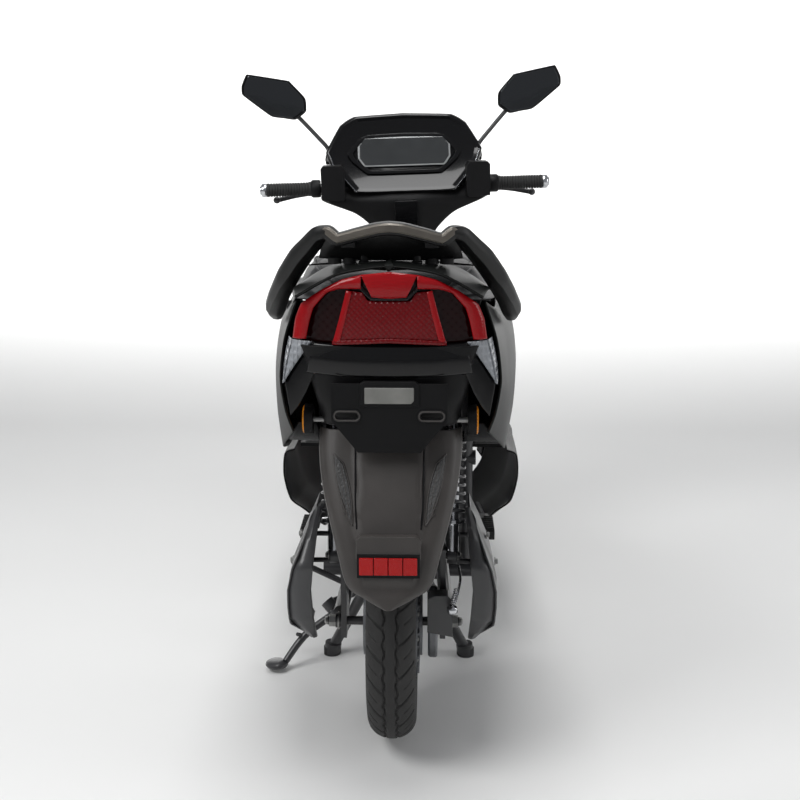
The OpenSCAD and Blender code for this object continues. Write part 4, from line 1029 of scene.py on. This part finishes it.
def coil(low, high, start, length, radius, wire, turns, samples=340):
    """A helix round the line low-high, with an even pitch."""
    d = unit(high - low)
    e = unit(np.cross(d, [0.0, 1, 0]))
    f = np.cross(d, e)
    s = np.linspace(0, 1, samples)
    along = start + length * s
    a = 2 * np.pi * turns * s
    line = low + along[:, None] * d + radius * (np.cos(a)[:, None] * e + np.sin(a)[:, None] * f)
    return sweep(line, round_section(wire, 10), samples, d)


spring = coil(LOW, HIGH, 69, 145, 20.5, 3.3, 9.5)
piece("shock_coils", [(both(spring), spring_black)], "chassis", ["shock_springs"])
v = unit(HIGH - LOW)
body = lathe([[8, 11], [56, 11.5], [60, 22.5], [66, 22.5], [67, 12], [150, 11], [152, 7], [214, 7], [215, 22.5],
    [221, 22.5], [226, 14], [238, 11]], LOW, v, 36)
eyes = join(*[lathe([[-9, 8], [-9, 13.6], [-7.5, 14], [7.5, 14], [9, 13.6], [9, 8]], p, (0, 1, 0), 32) for p in (LOW,
    HIGH)])
nuts = join(*[bolt(p + [0, 9, 0], (0, 1, 0), 8, 7) for p in (LOW, HIGH)])
piece("shock_bodies", [(both(body), steel), (both(eyes), frame_paint), (both(nuts), zinc)], "chassis",
    ["shock_absorbers"])

# %% [markdown]
# ## Side guards
# A pressed plate covers each end of the rear axle. Seen from behind it bows
# outwards, with a crease, and a flange closes its back edge. The sheet is a grid of
# [x, z], and its y is read off the bowed profile at each height.

# %% Guard plates
profile = np.array([(210, 142), (224, 152), (250, 177), (282, 180), (312, 180), (350, 172), (404, 150), (442, 134)],
    float)


def guard_plate():
    """y = profile(z), plus a crease: a tent 3 mm high and 16 mm to each side."""
    x = np.concatenate([np.full(6, -101.0), np.linspace(-100, 82, 40)])
    s = np.linspace(0, 1, 46)[None]
    top = np.interp(x, [-101, -96, -60, -20, 60, 82], [356, 372, 414, 441, 441, 396])[:, None]
    bottom = np.interp(x, [-101, -96, -66, 40, 82], [262, 248, 217, 217, 292])[:, None]
    z = bottom + (top - bottom) * s
    crease = 3.0 * np.clip(1 - np.abs(x[:, None] + 30 + 0.1 * (z - 320)) / 16, 0, 1)
    y = np.interp(z, profile[:, 0], profile[:, 1]) + crease
    return facing(grid(np.stack([R + np.broadcast_to(x[:, None], z.shape), y, z], -1)), (0, 1, 0))


rods = join(tube([(R + 30, 118, 372), (R + 30, 160, 372)], 4.5, 6, 14), tube([(R + 30, 118, 322), (R + 30, 176,
    322)], 4.5, 6, 14), block([R + 30, 113, 347], [12, 11, 60]))
heads = join(bolt([R + 30, 165, 372], (0, 1, 0), 8, 6), bolt([R + 30, 181, 322], (0, 1, 0), 8, 6))
height = np.linspace(213, 440, 40)
back_x = R + np.interp(height, [213, 262, 356, 414, 440], [-66, -99, -99, -60, -22])
bow = np.interp(height, profile[:, 0], profile[:, 1])
inner_y = np.interp(height, [213, 312, 442], [133, 140, 127])
flange = facing(grid(np.stack([np.stack([back_x, bow, height], 1), np.stack([back_x - 5, bow * 0.45 + inner_y * 0.55,
    height], 1), np.stack([back_x - 1, inner_y, height], 1), np.stack([back_x + 6, inner_y - 1, height], 1)], 1)), (-1, 0, 0))
piece("axle_guard_flanges", [(both(flange), guard_metal)], "chassis", wall=2.0, solid=False)
piece("axle_guard_plates", [(both(guard_plate()), guard_metal)], "chassis", ["side_guards"], wall=3.0, solid=False)
piece("axle_guard_rods", [(both(rods), frame_paint), (both(heads), zinc)], "chassis")

# %% Axle ends and brake
ends = join(lathe([[0, 13], [4, 13], [4.2, 11], [16, 11], [16.2, 8], [22, 7.4], [24, 4]], [R, 100, REAR_Z], (0, 1,
    0), 6), lathe([[0, 16], [3, 16]], [R, 97, REAR_Z], (0, 1, 0), 30))
drum = lathe([[0, 60], [3, 63.5], [14, 64], [17, 61], [18, 22], [24, 20]], [R, -62, REAR_Z], (0, -1, 0), 60)
box = plate([(-22, -38), (22, -30), (22, 32), (10, 38), (-14, 38), (-22, 28)], [R - 74, -83, 256], (0, 1, 0), (0, 0,
    1), 34)
adjuster = join(lathe([[-9, 2], [-8, 6], [-4, 8.6], [0, 9.2], [4, 8.6], [8, 6], [9, 2]], [R - 92, -104, 276], (0.2,
    -1, 0.1), 24), tube([(R - 92, -104, 276), (R - 84, -112, 300), (R - 60, -118, 320), (R - 20, -116,
    330)], 2.2, 24, 10))
adjust_spring = coil(np.array([R - 90.0, -104, 282]), np.array([R - 72.0, -114, 312]), 0, 30, 4.6, 1.0, 7, 120)
fins = join(*[lathe([[0, 58], [1.6, 58]], [R, -66 - 3.6 * k, REAR_Z], (0, -1, 0), 48) for k in range(3)])
piece("rear_brake_unit", [(drum, motor_alloy), (fins, rim_paint), (box, guard_metal)], "chassis", ["rear_brake"],
    bevel=1.2)
piece("axle_fasteners", [(both(ends), zinc), (adjuster, steel), (adjust_spring, steel)], "chassis")

# %% [markdown]
# ## Wheels
# Cast wheels have a rim with a deep well, broad tapering spokes and a hub.
# The rim is a closed profile turned about the axle; a spoke is a section
# carried outwards, wide at the hub and slim at the rim.

# %% Rim and spokes
def turned_ring(section, at, sides=96):
    """A closed section [y, radius] turned about the wheel's axle."""
    p = np.asarray(section, float)
    a = np.linspace(0, 2 * np.pi, sides, endpoint=False)[:, None]
    return grid(np.asarray(at, float) + np.stack([p[None, :, 1] * np.sin(a), np.broadcast_to(p[None, :, 0], (sides,
        len(p))), p[None, :, 1] * np.cos(a)], -1), (True, True))


RIM = [(-37, 131), (-34, 132), (-32, 128), (-29, 125), (-20, 118), (20, 118), (29, 125), (32, 128), (34, 132), (37,
    131), (36, 124), (28, 114), (20, 110), (-20, 110), (-28, 114), (-36, 124)]


def spokes(at, hub, count, twin):
    """Tapering spokes: a rounded section swept from the hub to the rim."""
    out = []
    for k in range(count):
        for lean in ((-0.16, 0.16) if twin else (0.0,)):
            a, b = 2 * np.pi * k / count + lean * 0.5, 2 * np.pi * k / count + lean * 1.5
            path = [np.asarray(at) + [r * math.sin(w), 0, r * math.cos(w)] for r, w in ((hub - 3, a),
                ((hub + 112) / 2, (a + b) / 2), (113, b))]
            out.append(sweep(path, [(-11, -9), (-7, -14), (7, -14), (11, -9), (11, 9), (7, 14), (-7, 14), (-11, 9)],
                12, (0, 1, 0), scale=[1.15, 0.8, 0.9] if not twin else [0.75, 0.55, 0.65]))
    return join(*out)


rear_at, front_at = [R, 0, REAR_Z], [F, 0, TYRE_R]
hub_ring = turned_ring([(-22, 98.4), (-22, 105), (-18, 107), (18, 107), (22, 105), (22, 98.4)], rear_at)
piece("rear_wheel_casting", [(turned_ring(RIM, rear_at), rim_paint), (hub_ring, rim_paint), (spokes(rear_at, 105, 12,
    False), rim_paint)], "rear_wheel", ["rear_rim"])
front_hub = lathe([[0, 8.6], [0, 26], [6, 29], [20, 31], [72, 31], [86, 29], [92, 26], [92, 8.6]], [F, -46, TYRE_R],
    (0, 1, 0), 48)
piece("front_wheel_casting", [(turned(turned_ring(RIM, front_at)), rim_paint), (turned(front_hub), rim_paint),
    (turned(spokes(front_at, 31, 5, True)), rim_paint)], "front_wheel", ["front_rim"])
motor_bolts = join(*[bolt([R + 84 * math.sin(a), 44, REAR_Z + 84 * math.cos(a)], (0, 1, 0), 4.5,
    3) for a in np.arange(12) * math.pi / 6])
motor_ribs = join(*[tube([(R + 62 * math.sin(a), 46, REAR_Z + 62 * math.cos(a)), (R + 92 * math.sin(a), 45,
    REAR_Z + 92 * math.cos(a))], 2.2, 4, 8) for a in np.arange(24) * math.pi / 12 + 0.13])
piece("motor_cover_fasteners", [(both(motor_bolts), zinc), (both(motor_ribs), motor_alloy)], "rear_wheel")

# %% Brake disc holes as painted shade
# The holes are not cut: a dark disc on each face of the brake disc is painted shade where a hole would show through.
painted_hole_shade = finish("disc_hole", (0.01, 0.01, 0.01), 0.6, grain=0.1)
dots = join(*[lathe([[0, 3.6], [0.5, 3.6]], [F + r * math.sin(a), y, TYRE_R + r * math.cos(a)], (0, math.copysign(1,
    y - 58), 0), 12)
              for k in range(18) for r, a in ((80 - 9 * (k % 3), k * math.pi / 9),) for y in (60.0, 56.0)])
piece("disc_holes", [(turned(dots), painted_hole_shade)], "front_wheel")

# %% [markdown]
# ## Stands
# The side stand is a forged arm with an egg-shaped foot. The centre stand
# keeps its CAD tubes and gets rubber shoes.

# %% Side stand
PIVOT, FOOT = np.array([R + 330, 128, 104.0]), np.array([R + 274, 241, 16.0])
hinge = np.cross(FOOT - PIVOT, [-1, 0.40, 0.05])
hinge = unit(hinge)
boss = lathe([[-7, 5.2], [-7, 13], [-6, 14], [6, 14], [7, 13], [7, 5.2]], PIVOT, hinge, 32)
bend = PIVOT + (FOOT - PIVOT) * 0.55 + [4, 0, 7]
arm = tube([PIVOT + (FOOT - PIVOT) * 0.06, bend, FOOT + [0, -14, 3]], 8.4, 30, 20, scale=[1.0, 0.92, 0.85])
foot_pad = lathe([[-8.0, 1], [-8.0, 17], [-6.5, 21], [-3, 23], [1, 22], [4.2, 17], [5.4, 8], [5.6, 0.5]], FOOT + [-2,
    4, 0], (0, 0, 1), 40)
peg = tube([bend + [0, 4, 0], bend + [-14, 14, 8]], 4, 8, 12)
piece("side_stand_arm", [(boss, bar_steel), (arm, bar_steel), (foot_pad, bar_steel), (peg, bar_steel)], "side_stand",
    ["side_stand"])

# %% Stand shoes
shoes = both(lathe([[0, 15.5], [2, 18], [16, 18], [20, 15], [24, 13]], [R + 359, 138.5, 0.3], (0, 0, 1), 28))
ball = lathe([[-12, 1], [-10, 7], [-5, 11.2], [0, 12.2], [5, 11.2], [10, 7], [12, 1]], [R + 298, 204, 225], (0, 0.9,
    0.5), 28)
piece("centre_stand_shoes", [(shoes, rubber), (ball, rubber)], "centre_stand")

# %% [markdown]
# ## Front body
# The rider's legs are shielded by a bent sheet, and the nose in front of it
# carries the indicators. Between them sits the steering head. All are drawn
# as sheets bent round the middle plane.

# %% Leg shield and apron
shield_back = facing(grid(shield([
    (404, [(F - 352, 190), (F - 380, 168), (F - 395, 140), (F - 398, 60)]), (520, [(F - 322, 202), (F - 350, 178),
        (F - 364, 148), (F - 370, 66)]),
    (680, [(F - 290, 198), (F - 324, 172), (F - 340, 140), (F - 346, 66)]), (756, [(F - 284, 166), (F - 308, 144),
        (F - 321, 118), (F - 326, 58)])], along=50, across=80)), (-1, 0, 0))
shelf = plate([(-326, 60), (-320, 124), (-300, 148), (-284, 154), (-258, 148), (-236, 134), (-206, 76), (-190, 20),
    (-190, -20), (-206, -76), (-236, -134), (-258, -148), (-284, -154), (-300, -148), (-320, -124), (-326, -60)],
              [F, 0, 754], (1, 0, 0), (0, 1, 0), 4)
pocket = plate([(-62, -34), (62, -34), (70, -20), (70, 26), (60, 34), (-60, 34), (-70, 26), (-70, -20)], [F - 352, 0,
    610], (0, -1, 0), (-0.12, 0, 1), -6)
lock = lathe([[0, 14], [4, 14], [5, 11], [3.5, 8], [3.5, 1]], [F - 349, -96, 690], (-1, 0, 0.1), 28)
piece("leg_shield_moulding", [(shield_back, black_plastic)], "chassis", ["leg_shield"], wall=3.2, solid=False)
piece("leg_shield_trim", [(shelf, black_plastic), (pocket, black_plastic), (lock, steel)], "chassis", bevel=2.0)
nose = facing(grid(shield([
    (542, [(F - 276, 216), (F - 236, 210), (F - 192, 190), (F - 120, 136), (F - 76, 84), (F - 48, 24)]), (600,
        [(F - 276, 218), (F - 236, 212), (F - 192, 190), (F - 124, 134), (F - 90, 82), (F - 68, 24)]),
    (700, [(F - 276, 208), (F - 240, 202), (F - 204, 180), (F - 152, 120), (F - 124, 74), (F - 110, 24)]), (768,
        [(F - 276, 166), (F - 254, 162), (F - 226, 144), (F - 196, 98), (F - 182, 60), (F - 174, 22)])],
    along=60, across=110, soft=(1.0, 0.85))), (1, 0, 0))
crest = sweep([(F - 44, 0, 545), (F - 66, 0, 610), (F - 104, 0, 700), (F - 168, 0, 764)], [(-16, -1), (-10, 3.5),
    (10, 3.5), (16, -1)], 40, (-1, 0, 0))
wing = facing(grid(patch([[[F + x, y, z] for y, z in line] for x, line in [
    (-338, [(206, 400), (208, 350), (202, 290), (181, 232)]), (-300, [(213, 532), (216, 430), (210, 330), (197,
        242)]), (-264, [(213, 532), (206, 450), (197, 360), (181, 262)])]], 24, 40, (1, 1))), (0, 1, 0))
piece("nose_panel", [(nose, black_gloss), (crest, black_gloss), (both(wing), black_gloss)], "chassis",
    ["front_apron"], wall=3.2, solid=False)

# %% Front lights
blade = patch([[[F - 205, y, z] for y, z in ((194, 692), (203, 676), (206, 660), (204, 642))], [[F - 186, y,
    z] for y, z in ((186, 696), (196, 680), (198, 662), (196, 641))],
               [[F - 161, y, z] for y, z in ((162, 699), (174, 682), (177, 662), (175, 641))]], 20, 20)
piece("nose_indicators", [(both(facing(grid(blade), (0.5, 1, 0))), amber_lens)], "chassis", ["front_indicators"],
    wall=5.0, solid=False)
LAMP = [(6, 34), (60, 31), (84, 26), (102, 6), (94, -16), (82, -26), (40, -32), (6, -34)]


def lamp_ring(x, scale):
    """The headlamp's outline, closed by its mirror image, scaled at x."""
    half = np.array(LAMP, float) * scale
    yz = np.vstack([half, half[::-1] * [-1, 1]])
    return np.concatenate([np.full((len(yz), 1), BAR_X + x), yz[:, :1], yz[:, 1:] + BAR_Z + 62], 1)


cover_lens = grid(patch([lamp_ring(151, 0.99), lamp_ring(158, 0.98), lamp_ring(170, 0.9), lamp_ring(177, 0.7),
    lamp_ring(180, 0.35), lamp_ring(180.4, 0.03)], 36, 110, (1, 0.6), True), (False, True), True)
piece("headlamp_lens", [(turned(cover_lens), lamp_glass)], "steering", ["headlamp"])

# %% Front mudguard and fork details
def fender(turn0=8, turn1=150, across=40, along=90):
    """A roof section turned about the front axle: radius against y, with lips."""
    line = curve([(192, 56), (207, 53.5), (219, 49), (227, 40), (230.5, 22), (232.5, 0), (230.5, -22), (227, -40),
        (219, -49), (207, -53.5), (192, -56)], across, 0.9)
    a = np.radians(np.linspace(turn0, turn1, along))[:, None]
    tip = 1 - 0.5 * np.clip((np.abs(np.linspace(-1, 1, along)) - 0.86) / 0.14, 0, 1)[:, None] ** 2
    y = line[None, :, 1] * tip
    return facing(grid(np.stack([F + line[None, :, 0] * np.cos(a), y + 0 * a, TYRE_R + line[None, :, 0] * np.sin(a)],
        -1)), (0, 0, 1))


piece("front_fender", [(turned(fender()), black_gloss)], "steering", ["front_mudguard"], wall=2.6, solid=False)
boots = both(lathe([[0, 21]] + [[4 + 7 * k + d, r] for k in range(7) for d, r in ((0, 19), (3.5, 22))] + [[56,
    18.5]], STEER_AT + STEER_UP * 216 + [18 * math.cos(RAKE), 85, 18 * math.sin(RAKE)], STEER_UP, 32))
axle_nuts = both(lathe([[0, 13], [9, 13], [11, 9], [14, 6]], [F, 108, 206], (0, 1, 0), 6))
piece("fork_fittings", [(turned(boots), rubber), (turned(axle_nuts), zinc)], "steering")

# %% [markdown]
# ## Footboard, skirts and covers
# The rider's feet rest on a rubber mat with long ribs. The skirts below it
# hide the battery box; the cover in front of the seat closes the frame.

# %% Floor mat
x = np.linspace(R + 606, F - 412, 60)[:, None]
y = np.linspace(-1, 1, 241)[None]
reach_y = np.interp(x, [R + 606, F - 470, F - 412], [212, 212, 188])
rib_wave = np.abs(np.sin(np.pi * y * reach_y / 11.0))
edge = np.clip((1 - np.abs(y)) * 30, 0, 1) * np.clip((x - x.min()) / 12, 0, 1) * np.clip((x.max() - x) / 12, 0, 1)
mat_top = np.stack([x + 0 * y, y * reach_y, 393.0 + edge * (1.2 + 2.2 * rib_wave ** 2)], -1)
piece("floor_mat", [(facing(grid(mat_top), (0, 0, 1)), rubber)], "chassis", wall=1.2, solid=False)

# %% Skirts and seat post cover
skirt = facing(grid(panel([
    (500, [(226, 405), (247, 394), (250, 345), (236, 292), (204, 268)]), (590, [(226, 400), (249, 388), (250, 335),
        (231, 272), (170, 205)]),
    (700, [(226, 400), (248, 388), (247, 332), (226, 262), (165, 198)]), (800, [(226, 400), (246, 388), (244, 330),
        (220, 255), (160, 190)]), (958, [(198, 400), (206, 388), (204, 320), (188, 255), (150, 200)])],
    along=70, across=36)), (0, 1, 0))
piece("skirt_pair", [(both(skirt), black_plastic)], "chassis", ["side_skirts"], wall=3.2, solid=False)
post = facing(grid(shield([(404, [(R + 560, 158), (R + 584, 150), (R + 596, 120), (R + 600, 40)]), (560, [(R + 570,
    150), (R + 594, 138), (R + 606, 108), (R + 612, 40)]), (638, [(R + 576, 128), (R + 598, 116), (R + 608, 92), (R + 614, 34)])], along=30, across=60)), (1, 0, 0))
piece("seat_post_panel", [(post, black_plastic)], "chassis", ["seat_post_cover"], wall=3.2, solid=False)

# %% Foot pegs
peg = plate([(-46, -8), (-40, -10), (44, -10), (48, -6), (48, 8), (42, 11), (-40, 11), (-46, 8)], [R + 280, 170,
    302], (1, 0, 0), (0, 0, 1), -20)
treads = join(*[block([R + 280 + 12 * k, 180, 315], [5, 18, 3]) for k in range(-3, 4)])
knuckle = block([R + 330, 170, 300], [30, 22, 26])
bar = tube([(R + 444, 161, 300), (R + 330, 172, 300)], 8, 8, 20)
piece("pillion_pegs", [(both(peg), rubber), (both(treads), rubber), (both(knuckle), frame_paint), (both(bar),
    frame_paint)], "chassis", ["pillion_footrests"], bevel=1.5)

# %% [markdown]
# ## The studio
# A plain pale floor that curves up into the backdrop, a bright soft key light from the back left, a wide fill
# from the right and a long strip above. Dark lacquer shows only what it
# mirrors, so the strips are long and soft.

# %% Floor and lights
floor = bpy.data.objects.new("floor", bpy.data.meshes.new("floor"))
turn = np.linspace(0, math.pi / 2, 40)
side = np.concatenate([[[-30.0, 0]], np.stack([6 + 4 * np.sin(turn), 4 - 4 * np.cos(turn)], 1), [[10.0, 20]]])
sheet, faces = grid(np.stack([np.stack([side[:, 0], np.full(len(side), y), side[:, 1]], 1) for y in (-30.0, 30.0)]))
floor.data.from_pydata(sheet, [], faces)
floor.data.shade_smooth()
floor.data.materials.append(finish("studio_floor", (0.82, 0.82, 0.81), 0.7, vary=0.02, patches=2, grain=0.02))
scene.collection.objects.link(floor)
world = bpy.data.worlds.new("studio")
world.use_nodes = True
world.node_tree.nodes["Background"].inputs["Color"].default_value = (0.93, 0.95, 1.0, 1)
world.node_tree.nodes["Background"].inputs["Strength"].default_value = 0.26
scene.world = world


def soft_light(name, at, towards, size, power):
    """An area light at a point, turned to face another point."""
    light = bpy.data.lights.new(name, "AREA")
    light.shape, light.size, light.size_y, light.energy = "RECTANGLE", size[0], size[1], power
    obj = bpy.data.objects.new(name, light)
    obj.location = at
    d = unit(np.subtract(towards, at))
    obj.rotation_euler = (math.acos(-d[2]), 0, math.atan2(d[1], d[0]) - math.pi / 2)
    scene.collection.objects.link(obj)
    return obj


soft_light("key", (-2.0, 2.0, 3.0), (0, 0, 0.6), (1.8, 1.4), 62)
soft_light("fill", (-1.0, -3.2, 1.6), (0, 0, 0.6), (1.2, 2.0), 24)
soft_light("strip", (-0.4, 0, 3.2), (-0.2, 0, 0.7), (0.8, 2.4), 46)
soft_light("backdrop", (4.0, 0, 5.5), (10, 0, 3.0), (8.0, 2.0), 900)
scene.view_settings.view_transform = "Standard"
scene.view_settings.look = "None"
